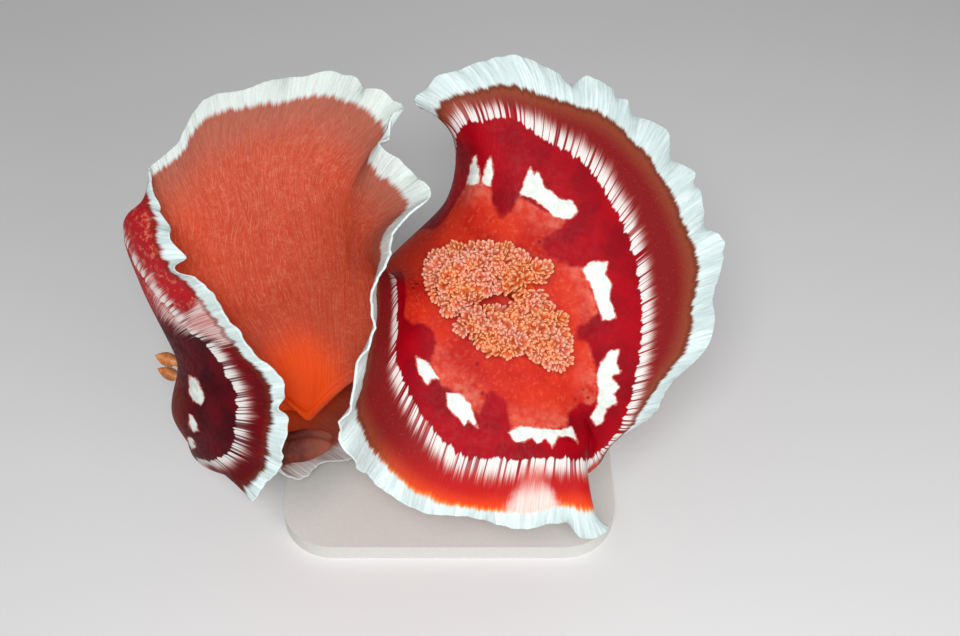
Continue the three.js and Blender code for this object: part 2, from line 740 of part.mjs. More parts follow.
// Limb that is widest beyond its middle and ends in a point
function limb(from, to, rootRadius, radius) {
  const run = unit(sub(to, from));
  const steep = 0.9;
  const level = Math.abs(run[2]) > steep ? [1, 0, 0] : [0, 0, 1];
  const broad = unit(sub(level, times(run, dot(level, run))));
  const ring = (f, wide) => ringAround(between(from, to, f), run, broad, wide, wide, LIMB_SIDES);
  return solidOf(loftSolid([ring(0, rootRadius), ring(LIMB_WIDEST, radius), ring(1, 0)]));
}

function seededRandom(seed) {
  let state = seed;
  return () => {
    state = (state * 16807) % 2147483647;
    return state / 2147483647;
  };
}

// Roots of the plumes on the back, and the middles of their crowns above it
const gillRoots = GILLS.map(([along, left]) => backPoint(along, Math.sign(left), Math.abs(left)));
const crowns = GILLS.map(([, , across, upward], i) => (
  [GILL_RING[0] + across, GILL_RING[1] + upward, gillRoots[i].at[2] + CROWN_HEIGHT]
));

// Plume: a stalk, branches out of its crown, and leaves out of the end of every branch, all
// on its own side of the walls halfway to its neighbours
function gill(index) {
  const random = seededRandom(SEED + index);
  const root = gillRoots[index];
  const walls = crowns.filter((other) => other !== crowns[index]).map((other) => {
    const apart = sub(other, crowns[index]);
    apart[2] = 0;
    return { across: unit(apart), room: 0.5 * (size(apart) - GAP) };
  });
  const pulledIn = (point) => walls.reduce((kept, { across, room }) => {
    const over = dot(sub(kept, crowns[index]), across) - (room - LEAF_RADIUS);
    return over > 0 ? sub(kept, times(across, over)) : kept;
  }, point);
  const crown = crowns[index];
  const stalkFrom = sub(root.at, times(root.normal, STALK_RADIUS));
  const stalkTo = add(crown, times(unit(sub(crown, stalkFrom)), STALK_REACH * BRANCH_LENGTH));
  const limbs = [limb(stalkFrom, stalkTo, STALK_RADIUS, STALK_RADIUS)];
  const branch = (turn, rise, length) => {
    const tip = pulledIn(add(crown, times(unit([Math.cos(turn), Math.sin(turn), rise]), length)));
    const fork = between(crown, tip, FORK_AT);
    limbs.push(limb(sub(crown, [0, 0, 1]), tip, BRANCH_RADIUS, BRANCH_RADIUS));
    for (let n = 0; n < LEAVES; n += 1) {
      const fan = (n - (LEAVES - 1) / 2) * LEAF_FAN;
      const leafRise = rise + LEAF_RISE_SPREAD * (random() - 0.3);
      const run = unit([Math.cos(turn + fan), Math.sin(turn + fan), leafRise]);
      const reach = LEAF_LENGTH * (0.8 + 0.4 * random());
      const end = pulledIn(add(fork, times(run, reach + 2)));
      limbs.push(limb(fork, end, BRANCH_RADIUS * LEAF_ROOT, LEAF_RADIUS));
    }
  };
  for (let i = 0; i < GILL_BRANCHES; i += 1) {
    const turn = (2 * Math.PI * (i + 0.5 * random())) / GILL_BRANCHES;
    branch(turn, LOWEST_RISE + RISE_SPREAD * random(), BRANCH_LENGTH * (0.85 + 0.3 * random()));
  }
  branch(2 * Math.PI * random(), MIDDLE_RISE, BRANCH_LENGTH * MIDDLE_LENGTH);
  return walls.reduce((rest, { across, room }) => (
    rest.trimByPlane(times(across, -1), -dot(crown, across) - room)
  ), wasm.Manifold.union(limbs));
}

// Slit cut into the front of the head, a little above the foot
function cutMouth(headGeometry) {
  const { at, head: ahead, up, left, half, depth } = ribStart(FRONT_RIB);
  const lips = new THREE.SphereGeometry(1, 12, 8);
  lips.scale(MOUTH_DEPTH, MOUTH_OPENING / 2, MOUTH_WIDTH / 2);
  const turn = new THREE.Matrix4().makeBasis(
    new THREE.Vector3(...ahead),
    new THREE.Vector3(...cross(left, ahead)),
    new THREE.Vector3(...left),
  );
  const height = times(up, depth * (WAIST_HEIGHT - 1));
  const front = times(ahead, half * WAIST_WIDTH);
  turn.setPosition(...add(at, add(height, front)));
  lips.applyMatrix4(turn);
  return geometryOf(solidOf(headGeometry).subtract(solidOf(lips)));
}

const animal = new THREE.Group();
animal.rotation.x = Math.PI / 2 - TILT;
animal.position.set(...ANIMAL_PLACE);

for (const [name, from, to] of BODY_LENGTHS) animal.add(part(name, bodyPiece(from, to), SKIN));
for (const [name, from, to] of FOOT_LENGTHS) animal.add(part(name, footPiece(from, to), UNDERSIDE));
for (const [name, from, to] of MANTLE_PIECES) animal.add(part(name, mantlePiece(from, to), CRIMSON));

const meshNamed = (name) => animal.children.find((mesh) => mesh.name === name);
const pieceNamed = (name) => meshNamed(name).geometry;

meshNamed('head').geometry = cutMouth(pieceNamed('head'));
const head = pieceNamed('head');
for (const [name, side] of [['rhinophore_left', 1], ['rhinophore_right', -1]]) {
  const foot = backPoint(RHINOPHORE_ALONG, side, RHINOPHORE_SPREAD);
  animal.add(part(name, standOn(rhinophore(), foot.at, foot.normal, head), HORN));
}
const TENTACLES = [['oral_tentacle_left', [0, 0, 0]], ['oral_tentacle_right', TENTACLE_OFFSET]];
for (const [name, offset] of TENTACLES) {
  const run = unit(sub(TENTACLE_ELBOW, TENTACLE_ROOT));
  const flap = cutClear(solidOf(oralTentacle(offset)), [head, pieceNamed('foot_front')], run);
  animal.add(part(name, geometryOf(flap), UNDERSIDE));
}

const gillBed = ['back_rear', 'mantle_left_rear', 'mantle_right_rear'].map(pieceNamed);
GILLS.forEach((row, i) => {
  const plume = cutClear(gill(i), gillBed, [0, 0, 1]);
  animal.add(part(`gill_${i + 1}`, geometryOf(plume), GILL));
});

// Stand: a flat base with round corners, and two rods up to the foot
function baseGeometry() {
  const shape = new THREE.Shape();
  const x = BASE_LENGTH / 2;
  const y = BASE_WIDTH / 2;
  const r = BASE_CORNER;
  shape.moveTo(r - x, -y);
  shape.lineTo(x - r, -y);
  shape.absarc(x - r, r - y, r, -Math.PI / 2, 0, false);
  shape.lineTo(x, y - r);
  shape.absarc(x - r, y - r, r, 0, Math.PI / 2, false);
  shape.lineTo(r - x, y);
  shape.absarc(r - x, y - r, r, Math.PI / 2, Math.PI, false);
  shape.lineTo(-x, r - y);
  shape.absarc(r - x, r - y, r, Math.PI, Math.PI * 1.5, false);
  return new THREE.ExtrudeGeometry(shape, { depth: BASE_THICK, bevelEnabled: false, curveSegments: 8 });
}

animal.updateMatrixWorld(true);
const footSolids = ['foot_front', 'foot_middle', 'foot_rear'].map((name) => {
  const placed = pieceNamed(name).clone().applyMatrix4(animal.matrixWorld);
  return solidOf(placed.translate(0, 0, -GAP));
});

function rodGeometry(x, y) {
  const height = ANIMAL_PLACE[2];
  const rod = new THREE.CylinderGeometry(ROD_RADIUS, ROD_RADIUS, height, ROD_SIDES);
  rod.rotateX(Math.PI / 2);
  rod.translate(x, y, BASE_THICK + GAP + height / 2);
  let solid = solidOf(rod);
  for (const piece of footSolids) solid = solid.subtract(piece);
  const lowest = solid.decompose().sort((a, b) => a.boundingBox().min[2] - b.boundingBox().min[2])[0];
  return geometryOf(lowest);
}

const group = new THREE.Group();
group.add(animal);
group.add(part('stand_base', baseGeometry(), BASE));
for (const [name, x, y] of RODS) group.add(part(name, rodGeometry(x, y), STEEL));

export default group;
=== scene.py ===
import math
import random

import bpy
import numpy as np
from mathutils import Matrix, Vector


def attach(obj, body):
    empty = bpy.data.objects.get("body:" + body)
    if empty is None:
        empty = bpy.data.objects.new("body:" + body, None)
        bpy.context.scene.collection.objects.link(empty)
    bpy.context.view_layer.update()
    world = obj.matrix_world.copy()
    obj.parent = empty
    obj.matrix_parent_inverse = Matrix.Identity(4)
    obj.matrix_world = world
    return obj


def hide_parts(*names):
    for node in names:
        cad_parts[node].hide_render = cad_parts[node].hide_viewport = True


# The looks of a swimming spanish dancer nudibranch on a plain stand. Shapes are worked out in
# millimetres in the animal's pose frame (+X to the viewer's right, +Y up the picture, +Z
# towards the viewer) and set into the scene in metres.

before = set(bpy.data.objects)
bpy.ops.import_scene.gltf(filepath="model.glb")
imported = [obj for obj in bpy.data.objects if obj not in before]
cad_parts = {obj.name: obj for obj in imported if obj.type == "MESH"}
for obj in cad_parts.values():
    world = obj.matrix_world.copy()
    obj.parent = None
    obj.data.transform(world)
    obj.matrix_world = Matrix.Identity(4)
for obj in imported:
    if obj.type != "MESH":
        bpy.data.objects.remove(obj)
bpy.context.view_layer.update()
rng = random.Random(7)

TILT = math.radians(45)
ANIMAL_PLACE = np.array([15.0, -12.0, 118.0])
CAMERA_DISTANCE = 520.0
FOCAL_PX = 1209.3
IMAGE = (960, 636)
MM = 0.001

# Middle line of the back: place, direction of the back, half width and depth of the body
SPINE = np.array([
    [-123, -57, 2, -0.80, -0.60, 0.05, 9, 18],
    [-133, -40, -4, -1.00, -0.05, 0.00, 18, 30],
    [-128, -20, -18, -0.86, 0.51, 0.00, 21, 36],
    [-106, -10, -30, -0.50, 0.87, 0.00, 23, 36],
    [-74, -2, -34, 0.00, 1.00, 0.10, 24, 41],
    [-52, 15, -26, 0.00, 0.88, 0.47, 23, 37],
    [-32, 25, -14, -0.08, 0.55, 0.83, 22, 35],
    [-13, 23, 0, -0.02, 0.20, 0.98, 23, 34],
    [6, 6, 8, 0.00, 0.00, 1.00, 25, 32],
    [29, -19, 5, 0.03, -0.02, 1.00, 20, 26],
    [45, -43, -4, 0.15, -0.15, 0.97, 8, 14],
], float)
LAST = len(SPINE) - 1

# Ribs of the mantle, from the tail along the left side to the front and back along the right
# side: place along the spine, the rib's middle, and its end at the margin
RIBS = np.array([
    [10, 47, -65, -12, 42, -83, -30], [9.85, 45, -66, 6, 50, -91, 2],
    [9.4, 32, -62, 10, 30, -90, 6], [8.8, 12, -60, 11, 8, -86, 8],
    [8.2, -8, -51, 11, -17, -83, 12], [7.6, -24, -35, 12, -40, -70, 22],
    [7.1, -32, -18, 14, -53, -51, 42], [6.7, -34, -5, 18, -52, -37, 50],
    [6.3, -36, 7, 20, -45, -17, 52], [5.9, -40, 19, 20, -39, 13, 48],
    [5.5, -44, 26, 16, -35, 32, 42], [5.2, -50, 33, 10, -20, 48, 34],
    [4.9, -55, 37, 5, -39, 71, 24], [4.6, -62, 41, 2, -33, 85, 16],
    [4.3, -70, 43, 0, -48, 100, 10], [3.95, -82, 43, 0, -71, 103, 8],
    [3.6, -93, 41, 2, -94, 98, 8], [3.3, -104, 38, 4, -115, 91, 12],
    [3.05, -116, 35, 8, -126, 73, 18], [2.8, -131, 33, 13, -133, 56, 32],
    [2.5, -146, 33, 20, -124, 40, 44], [2.2, -140, 14, 22, -118, 24, 50],
    [1.9, -131, -3, 22, -105, 10, 54], [1.5, -120, -19, 24, -89, -12, 54],
    [1.1, -113, -33, 28, -77, -26, 52], [0.7, -112, -42, 26, -77, -46, 46],
    [0.35, -112, -50, 22, -82, -63, 38], [0.1, -115, -58, 14, -95, -72, 22],
    [0, -118, -64, 0, -106, -69, -12], [0.3, -129, -59, -26, -101, -67, -38],
    [0.9, -133, -46, -48, -84, -74, -50], [1.6, -128, -30, -68, -62, -65, -66],
    [2.5, -109, -24, -85, -44, -51, -84], [3.4, -84, -11, -92, -31, -27, -98],
    [4.3, -57, 9, -86, -21, 4, -102], [5, -34, 30, -74, -6, 34, -92],
    [5.5, -21, 46, -60, 6, 58, -76], [6, -13, 58, -41, 3, 83, -48],
    [6.35, -12, 62, -22, -13, 94, -22], [6.7, -7, 68, -6, -27, 91, 2],
    [7, -1, 71, 4, -17, 102, 6], [7.35, 13, 72, 8, 2, 111, 4],
    [7.7, 28, 68, 8, 28, 108, 0], [8.1, 44, 57, 8, 56, 99, -4],
    [8.5, 55, 40, 7, 82, 77, -8], [8.85, 60, 21, 6, 99, 50, -12],
    [9.15, 62, 3, 5, 106, 25, -14], [9.45, 62, -15, 3, 103, -1, -14],
    [9.7, 62, -30, 1, 91, -24, -14], [9.85, 61, -43, -2, 76, -42, -18],
    [9.95, 54, -57, -8, 61, -55, -28],
], float)
RIB_COUNT = len(RIBS)
FRONT_RIB = int(np.argmin(RIBS[:, 0]))

# Mantle, foot and waist as in the solids, in millimetres or as shares of the body
FAN_LENGTH = 1.4
FAN_POWER = 1.2
START_PULL = 1.1
MARGIN_THICK = 1.1
ROOT_THICK = 4.5
THICKENING = 60
FOOT_THICK = 5
FOOT_WIDTH = 0.82
FOOT_RIM = 2
FOOT_BULGE = 0.45
WAIST_WIDTH = 0.8
WAIST_HEIGHT = 0.4
SECTIONS = 48

# Frill of the margin: height, width over which it fades, and waves round the whole margin
FRILL_WAVES = 38
FRILL_GROUPS = 7
FRILL_SWAY = 1.4
FRILL_HEIGHT = 1.8
FRILL_WIDTH = 28
SCALLOP = 1.2

# Finer ruffles on it: waves round the whole margin, height and width over which each fades
RUFFLES = [(61, 0.9, 13), (97, 0.8, 9), (163, 0.4, 7), (251, 0.2, 5), (389, 0.1, 4)]
RUFFLE_SWAY = 2.1
RUFFLE_PULL = 0.6

# Folds of the margin that stand out in the photo: place round the margin, height, width along
# the margin, depth into the sheet and notch, in millimetres
CURLS = [
    (13.9, 3.5, 4.5, 10, 2.5), (12.6, -2.5, 5, 10, 1.5), (11.4, 2.5, 4, 9, 1.5),
    (21.2, 5.5, 4.5, 11, 1.5), (24.4, 2.0, 2.5, 8, 1.5), (42.5, 2.5, 3.5, 9, 2.0),
    (43.2, 2.0, 3, 9, 1.5), (44.6, -2.5, 3.5, 9, 2.0), (45.4, 2.5, 3.5, 9, 1.5),
    (0.8, 4.0, 4.5, 10, 1.0), (1.6, -3.0, 4, 9, 1.5), (39.6, 3.0, 4, 8, 1.0),
]
CURL_STEEPNESS = 2.3

# How finely the skin is divided
COLUMNS = 14 * 96
BACK_ROWS = 84
UNDER_ROWS = 46
EDGE_ROWS = 4
SIDE_ROWS = 26
ROW_CROWDING = 1.35
RIB_STEP = 0.05
REACH_STEP = 0.01
SPINE_STEP = 0.02

# Section of the foot from its upper edge to the middle of the sole: height in thicknesses of the
# foot, width in half widths, and share of the rim that stands out
FOOT_SECTION = [
    (1.25, 0.99, 0), (0.85, 1, 0.8), (FOOT_BULGE, 1, 1), (0.05, 1, 0.2),
    (0, 0.66, 0), (0, 0.33, 0), (0, 0, 0),
]
SHOULDER_RISE = 0.22
EDGE_BULGE = 0.9
SIDE_LENGTH = 30


def unit(a):
    return a / np.linalg.norm(a, axis=-1, keepdims=True)


def curve_through(rows, place, closed):
    """Smooth curve through rows of numbers, at an array of places counted in rows."""
    rows = np.asarray(rows, float)
    count = len(rows)
    place = np.asarray(place, float)
    if closed:
        first = np.floor(place).astype(int)
        pick = lambda i: rows[i % count]
    else:
        first = np.clip(np.floor(place).astype(int), 0, count - 2)
        longer = np.vstack([2 * rows[0] - rows[1], rows, 2 * rows[-1] - rows[-2]])
        pick = lambda i: longer[i + 1]
    f = (place - first)[..., None]
    a, b, c, d = pick(first - 1), pick(first), pick(first + 1), pick(first + 2)
    return 0.5 * (2 * b + (c - a) * f + (2 * a - 5 * b + 4 * c - d) * f ** 2
                  + (3 * b - a - 3 * c + d) * f ** 3)


def spine_at(along):
    """Place, directions and size of the body at places along the spine."""
    along = np.clip(along, 0, LAST)
    row = curve_through(SPINE, along, False)
    ahead = curve_through(SPINE, np.clip(along - SPINE_STEP, 0, LAST), False)
    behind = curve_through(SPINE, np.clip(along + SPINE_STEP, 0, LAST), False)
    head = unit(ahead[..., :3] - behind[..., :3])
    up = unit(row[..., 3:6])
    return {"at": row[..., :3], "head": head, "up": up, "left": unit(np.cross(up, head)),
            "half": row[..., 6], "depth": row[..., 7]}


def share_of(along):
    """Share of the way from front to tail, which runs faster near both ends."""
    return np.arccos(np.clip(1 - 2 * along / LAST, -1, 1)) / math.pi


RIB_SHARES = share_of(RIBS[:, 0])


def place_of(step):
    """Place among the ribs of a step round the mantle, where whole steps are sections."""
    step = np.mod(step, 2 * SECTIONS)
    left = np.interp(1 - step / SECTIONS, RIB_SHARES[FRONT_RIB::-1], np.arange(FRONT_RIB, -1, -1))
    right_shares = np.append(RIB_SHARES[FRONT_RIB:], RIB_SHARES[0])
    right = np.interp(step / SECTIONS - 1, right_shares, np.arange(FRONT_RIB, RIB_COUNT + 1))
    return np.where(step <= SECTIONS, left, right)


def rib_start(place):
    """The body where ribs leave the spine, and the direction out; ribs fan round both ends."""
    place = np.mod(place, RIB_COUNT)
    first = np.floor(place).astype(int) % RIB_COUNT
    a, b = RIB_SHARES[first], RIB_SHARES[(first + 1) % RIB_COUNT]
    along = LAST * (1 - np.cos((a + (b - a) * (place - np.floor(place))) * math.pi)) / 2
    spine = spine_at(along)
    side = np.where(place < FRONT_RIB, 1.0, -1.0)
    tail_turn = np.clip((along - LAST + FAN_LENGTH) / FAN_LENGTH, 0, 1) ** FAN_POWER * math.pi / 2
    front_turn = np.clip((FAN_LENGTH - along) / FAN_LENGTH, 0, 1) ** FAN_POWER * math.pi / 2
    sideways = spine["left"] * (side * np.cos(tail_turn) * np.cos(front_turn))[..., None]
    endways = spine["head"] * (np.sin(front_turn) - np.sin(tail_turn))[..., None]
    spine["out"] = unit(sideways + endways)
    spine["along"] = along
    return spine


RIB_FORMS = np.hstack([
    RIBS[:, 1:7],
    np.linalg.norm(RIBS[:, 1:4] - rib_start(np.arange(RIB_COUNT, dtype=float))["at"], axis=1)[:, None],
])


def rib_at(place):
    row = curve_through(RIB_FORMS, place, True)
    return {"start": rib_start(place), "middle": row[..., :3], "end": row[..., 3:6],
            "reach": row[..., 6]}


def rib_points(rib, reach):
    """Points of the bare mantle on ribs [n] at reaches [n or n, m]: 0 is the spine, 1 the margin."""
    if reach.ndim == 1:
        reach = reach[:, None]
    start, middle, end = rib["start"]["at"][:, None], rib["middle"][:, None], rib["end"][:, None]
    whole = (end - start) / 2
    leave = rib["start"]["out"][:, None] * (rib["reach"] * START_PULL)[:, None, None]
    arrive = 2 * (end - middle) - whole
    r = reach[..., None]
    inner = r <= 0.5
    f = np.where(inner, 2 * r, 2 * r - 1)
    h0, h1, h2, h3 = 2 * f**3 - 3 * f**2 + 1, f**3 - 2 * f**2 + f, 3 * f**2 - 2 * f**3, f**3 - f**2
    near = start * h0 + leave * h1 + middle * h2 + whole * h3
    far = middle * h0 + whole * h1 + end * h2 + arrive * h3
    return np.where(inner, near, far)


def margin_distance(rib, reach):
    """Millimetres from the margin on ribs [n] at reaches [n, m]."""
    outer = np.linalg.norm(rib["end"] - rib["middle"], axis=-1)[:, None]
    inner = rib["reach"][:, None]
    return np.where(reach >= 0.5, (1 - reach) * 2 * outer, outer + (1 - 2 * reach) * inner)


# Walk along the margin, which gives every place its length round the margin in millimetres
WALK_PLACES = np.linspace(0, RIB_COUNT, RIB_COUNT * 10 + 1)
WALK_ENDS = rib_at(WALK_PLACES)["end"]
WALK = np.concatenate([[0], np.cumsum(np.linalg.norm(np.diff(WALK_ENDS, axis=0), axis=1))])
MARGIN_LENGTH = WALK[-1]


def margin_walk(place):
    return np.interp(np.mod(place, RIB_COUNT), WALK_PLACES, WALK)


def smooth(f):
    f = np.clip(f, 0, 1)
    return f * f * (3 - 2 * f)


def frill(place, to_margin):
    """Height of the frill across the sheet, and how far it pulls the margin out."""
    turn = 2 * math.pi * margin_walk(place) / MARGIN_LENGTH
    fade = lambda width: np.clip(1 - to_margin / width, 0, 1) ** 2
    main = np.sin(FRILL_WAVES * turn + FRILL_SWAY * np.sin(FRILL_GROUPS * turn))[:, None]
    height = FRILL_HEIGHT * main * fade(FRILL_WIDTH)
    pull = SCALLOP * main * fade(FRILL_WIDTH)
    for spot, tall, wide, deep, notch in CURLS:
        apart = margin_walk(place) - margin_walk(np.array(spot))
        apart = (apart + MARGIN_LENGTH / 2) % MARGIN_LENGTH - MARGIN_LENGTH / 2
        bell = np.exp(-(apart / wide) ** 2)
        height = height + (tall * CURL_STEEPNESS * apart / wide * bell)[:, None] * fade(deep)
        pull = pull - (notch * bell)[:, None] * fade(deep)
    for n, (waves, tall, width) in enumerate(RUFFLES):
        gust = 0.5 + 0.5 * np.sin((5 + 3 * n) * turn + 1.7 * n)
        wave = np.sin(waves * turn + RUFFLE_SWAY * np.sin((11 + 2 * n) * turn + n))
        height = height + tall * (gust * wave)[:, None] * fade(width)
        pull = pull + RUFFLE_PULL * tall * (gust * np.cos(waves * turn + n))[:, None] * fade(width)
    return height, pull


def mantle(place, reach):
    """Upper points, their normals, thickness and distance to the margin, for reaches [n, m]."""
    rib = rib_at(place)
    to_margin = margin_distance(rib, reach)
    height, pull = frill(place, np.maximum(to_margin, 0))
    outer = np.linalg.norm(rib["end"] - rib["middle"], axis=-1)[:, None]
    point = rib_points(rib, reach + 0.5 * pull / outer)
    around = rib_points(rib_at(place + RIB_STEP), reach) - rib_points(rib_at(place - RIB_STEP), reach)
    further, nearer = np.minimum(reach + REACH_STEP, 1), np.maximum(reach - REACH_STEP, 0)
    normal = unit(np.cross(around, rib_points(rib, further) - rib_points(rib, nearer)))
    top = point + normal * height[..., None]
    thick = MARGIN_THICK + (ROOT_THICK - MARGIN_THICK) * smooth(to_margin / THICKENING)
    return top, normal, thick, to_margin


def to_world(points):
    """Pose frame in millimetres to the scene in metres."""
    c, s = math.cos(TILT), math.sin(TILT)
    x, y, z = points[..., 0], points[..., 1], points[..., 2]
    world = np.stack([x, s * y - c * z, c * y + s * z], axis=-1) + ANIMAL_PLACE
    return world * MM


def to_picture(points):
    """Where points of the pose frame fall in the photo, in pixels."""
    scale = FOCAL_PX / (CAMERA_DISTANCE - points[..., 2])
    return IMAGE[0] / 2 + points[..., 0] * scale, IMAGE[1] / 2 - points[..., 1] * scale


def add_object(name, data):
    obj = bpy.data.objects.new(name, data)
    bpy.context.scene.collection.objects.link(obj)
    return obj


def make_mesh(name, points, quads, triangles=()):
    mesh = bpy.data.meshes.new(name)
    faces = [tuple(int(i) for i in face) for face in (*quads, *triangles)]
    mesh.from_pydata(points.tolist(), [], faces)
    mesh.polygons.foreach_set("use_smooth", [True] * len(mesh.polygons))
    mesh.update()
    return add_object(name, mesh)


def set_attribute(obj, name, values):
    attribute = obj.data.attributes.new(name, "FLOAT", "POINT")
    attribute.data.foreach_set("value", np.asarray(values, np.float32))


# One skin over mantle, body and foot, as columns that run from the middle of the back over
# the margin and the underside down to the middle of the sole
def build_skin():
    steps = np.arange(COLUMNS) * (2 * SECTIONS / COLUMNS)
    place = place_of(steps)
    rib = rib_at(place)
    root = 0.5 * rib["start"]["half"] / rib["reach"]

    back_share = 1 - (1 - np.linspace(0, 1, BACK_ROWS)) ** ROW_CROWDING
    top, _, _, to_margin = mantle(place, np.tile(back_share, (COLUMNS, 1)))

    under_share = 1 - np.linspace(0, 1, UNDER_ROWS) ** ROW_CROWDING
    under_reach = root[:, None] + (1 - root[:, None]) * under_share
    above, normal, thick, under_to_margin = mantle(place, under_reach)
    under = above - normal * thick[..., None]

    # Round edge between the two faces
    outward = unit(top[:, -1] - top[:, -2])
    across = top[:, -1] - under[:, 0]
    middle = (top[:, -1] + under[:, 0]) / 2
    half_thick = np.linalg.norm(across, axis=-1)[:, None] / 2
    edge = []
    for turn in (math.pi / 2 - math.pi * k / (EDGE_ROWS + 1) for k in range(1, EDGE_ROWS + 1)):
        way = unit(across) * math.sin(turn) + outward * math.cos(turn) * EDGE_BULGE
        edge.append(middle + way * half_thick)
    edge = np.stack(edge, axis=1)

    # Side of the body and the foot, below the root of the mantle
    start = rib["start"]
    at, up, out = start["at"], start["up"], start["out"]
    half, depth = start["half"], start["depth"]

    def floor(height, width):
        return at + up * (height - depth)[:, None] + out * width[:, None]

    waist = half * WAIST_WIDTH
    foot = [floor(np.full(COLUMNS, FOOT_THICK * high), half * FOOT_WIDTH * wide + FOOT_RIM * rim)
            for high, wide, rim in FOOT_SECTION]
    knots = np.stack([
        under[:, -3],
        under[:, -1],
        floor(depth * (WAIST_HEIGHT + SHOULDER_RISE), waist),
        floor(depth * WAIST_HEIGHT, waist),
        *foot,
    ], axis=0)
    places = 1 + (np.arange(1, SIDE_ROWS + 1) / SIDE_ROWS) * (len(knots) - 2)
    flat = knots.reshape(len(knots), -1)
    side = curve_through(flat, places, False).reshape(SIDE_ROWS, COLUMNS, 3).transpose(1, 0, 2)

    grid = np.concatenate([top, edge, under, side], axis=1)
    rows = grid.shape[1]
    edge_zero = np.zeros((COLUMNS, EDGE_ROWS))
    side_far = under_to_margin[:, -1:] + SIDE_LENGTH * np.arange(1, SIDE_ROWS + 1) / SIDE_ROWS
    distance = np.concatenate([to_margin, edge_zero, under_to_margin, side_far], axis=1)
    dorsal = np.repeat([1, 0.5, 0], [BACK_ROWS, EDGE_ROWS, UNDER_ROWS + SIDE_ROWS])

    # Both sides share the middle line of the back and of the sole
    index = np.arange(COLUMNS * rows).reshape(COLUMNS, rows)
    mirrored = (-np.arange(COLUMNS)) % COLUMNS
    right = np.arange(COLUMNS) > COLUMNS // 2
    index[right, 0] = index[mirrored[right], 0]
    index[right, -1] = index[mirrored[right], -1]
    nxt = np.roll(index, -1, axis=0)
    quads = np.stack([index[:, :-1], nxt[:, :-1], nxt[:, 1:], index[:, 1:]], axis=-1).reshape(-1, 4)

    used = np.unique(quads)
    renumber = np.full(COLUMNS * rows, -1)
    renumber[used] = np.arange(len(used))
    quads = renumber[quads]
    same = (quads[:, 0] == quads[:, 1]) | (quads[:, 2] == quads[:, 3])
    three = [list(dict.fromkeys(corners)) for corners in quads[same].tolist()]
    three = [corners for corners in three if len(corners) == 3]
    points = grid.reshape(-1, 3)[used]
    made = make_mesh("skin", to_world(points), quads[~same], three)
    spread = lambda a: np.broadcast_to(a, (COLUMNS, rows)).ravel()[used]
    distance, dorsal, place = spread(distance), spread(dorsal), spread(place[:, None])
    along = spread(start["along"][:, None])
    fields = {"margin": distance, "walk": margin_walk(place), "dorsal": dorsal, "along": along}
    fields.update(pattern_fields(*to_picture(points), distance, place, along, dorsal))
    for name, values in fields.items():
        set_attribute(made, name, values)
    return made


# Markings of the back, as outlines in the photo's pixels; they lie on the upper side of the
# disk and of the near flap
PATCHES = {
    "left_tooth": [(467, 184), (471, 166), (475, 156), (478, 168), (480, 184)],
    "right_tooth": [(482, 184), (486, 166), (491, 156), (493, 170), (491, 186)],
    "upper": [
        (521, 194), (525, 178), (531, 168), (534, 177), (538, 172), (544, 188), (551, 192),
        (558, 199), (573, 201), (577, 212), (570, 219), (556, 217), (546, 208), (532, 198),
    ],
    "right": [
        (582, 269), (592, 262), (608, 262), (605, 275), (611, 284), (609, 298), (616, 318),
        (603, 320), (597, 303), (593, 288),
    ],
    "low_right": [
        (601, 364), (610, 351), (619, 350), (616, 363), (620, 372), (610, 377), (619, 387),
        (613, 394), (617, 402), (606, 408), (603, 421), (596, 426), (591, 417), (598, 404),
        (599, 388), (597, 376),
    ],
    "bottom": [
        (509, 432), (520, 427), (545, 429), (560, 430), (572, 427), (578, 443), (571, 436),
        (558, 436), (552, 447), (546, 438), (537, 443), (532, 437), (523, 442), (514, 441),
    ],
    "low_left": [
        (446, 394), (459, 394), (470, 404), (478, 428), (468, 419), (464, 425), (457, 415),
        (449, 409),
    ],
    "left": [(416, 357), (426, 361), (439, 379), (431, 378), (428, 385), (420, 374)],
    "flap_upper": [(190, 376), (197, 380), (204, 398), (201, 404), (194, 401), (189, 390)],
    "flap_middle": [(190, 415), (195, 420), (198, 431), (193, 431), (189, 424)],
    "flap_lower": [(188, 438), (192, 439), (195, 447), (191, 449)],
}
MIDDLE = [
    (392, 205), (440, 190), (464, 183), (494, 184), (499, 206), (520, 196), (548, 214), (566, 222),
    (548, 246), (570, 266), (584, 268), (592, 290), (598, 312), (582, 330), (590, 350), (597, 376),
    (596, 400), (574, 412), (566, 428), (540, 432), (512, 432), (500, 402), (482, 418), (460, 396),
    (444, 386), (430, 364), (426, 330), (400, 318),
]
CRIMSON_LOBES = [
    (592, 240, 47, 22, -8),
    (604, 333, 26, 14, 0),
    (585, 421, 17, 19, 10),
    (494, 420, 15, 30, 0),
    (418, 343, 18, 20, 0),
    (503, 186, 13, 30, 0),
]

# Pale veil over the disk's lower margin, painted light of hot orange on the shaded underside (middle,
# half widths and turn), pale fields of the near flap and their end in millimetres from the margin,
# and pixel rows and columns of the near flap's painted light and of the warm band
VEIL = [
    (520, 464), (544, 461), (549, 480), (557, 497), (572, 522), (496, 524), (508, 500), (517, 482),
]
# Painted light: oval of bright orange low on the underside, where it is shaded
PAINTED_LIGHT_OVAL = (298, 396, 52, 68, 0)
FLAP_PALE = [
    (186, 316), (196, 300), (206, 290), (216, 306), (232, 330), (236, 344), (222, 346), (206, 338),
    (176, 330),
]
FLAP_PALE_EDGE = [
    (146, 268), (152, 270), (164, 300), (184, 318), (196, 330), (182, 334), (160, 318), (148, 292),
]
FLAP_PALE_TO = 46
FLAP_LIGHT_FROM, FLAP_LIGHT_TO = 335, 290
WARM_FROM, WARM_TO = 425, 505
WARM_LEFT, WARM_RIGHT = 330, 600

# Where the disk starts and the near flap ends, in places along the spine, and over how much of it
DISK_FROM, DISK_FADE = 6.3, 0.6
FLAP_TO, FLAP_FADE = 3.4, 0.6

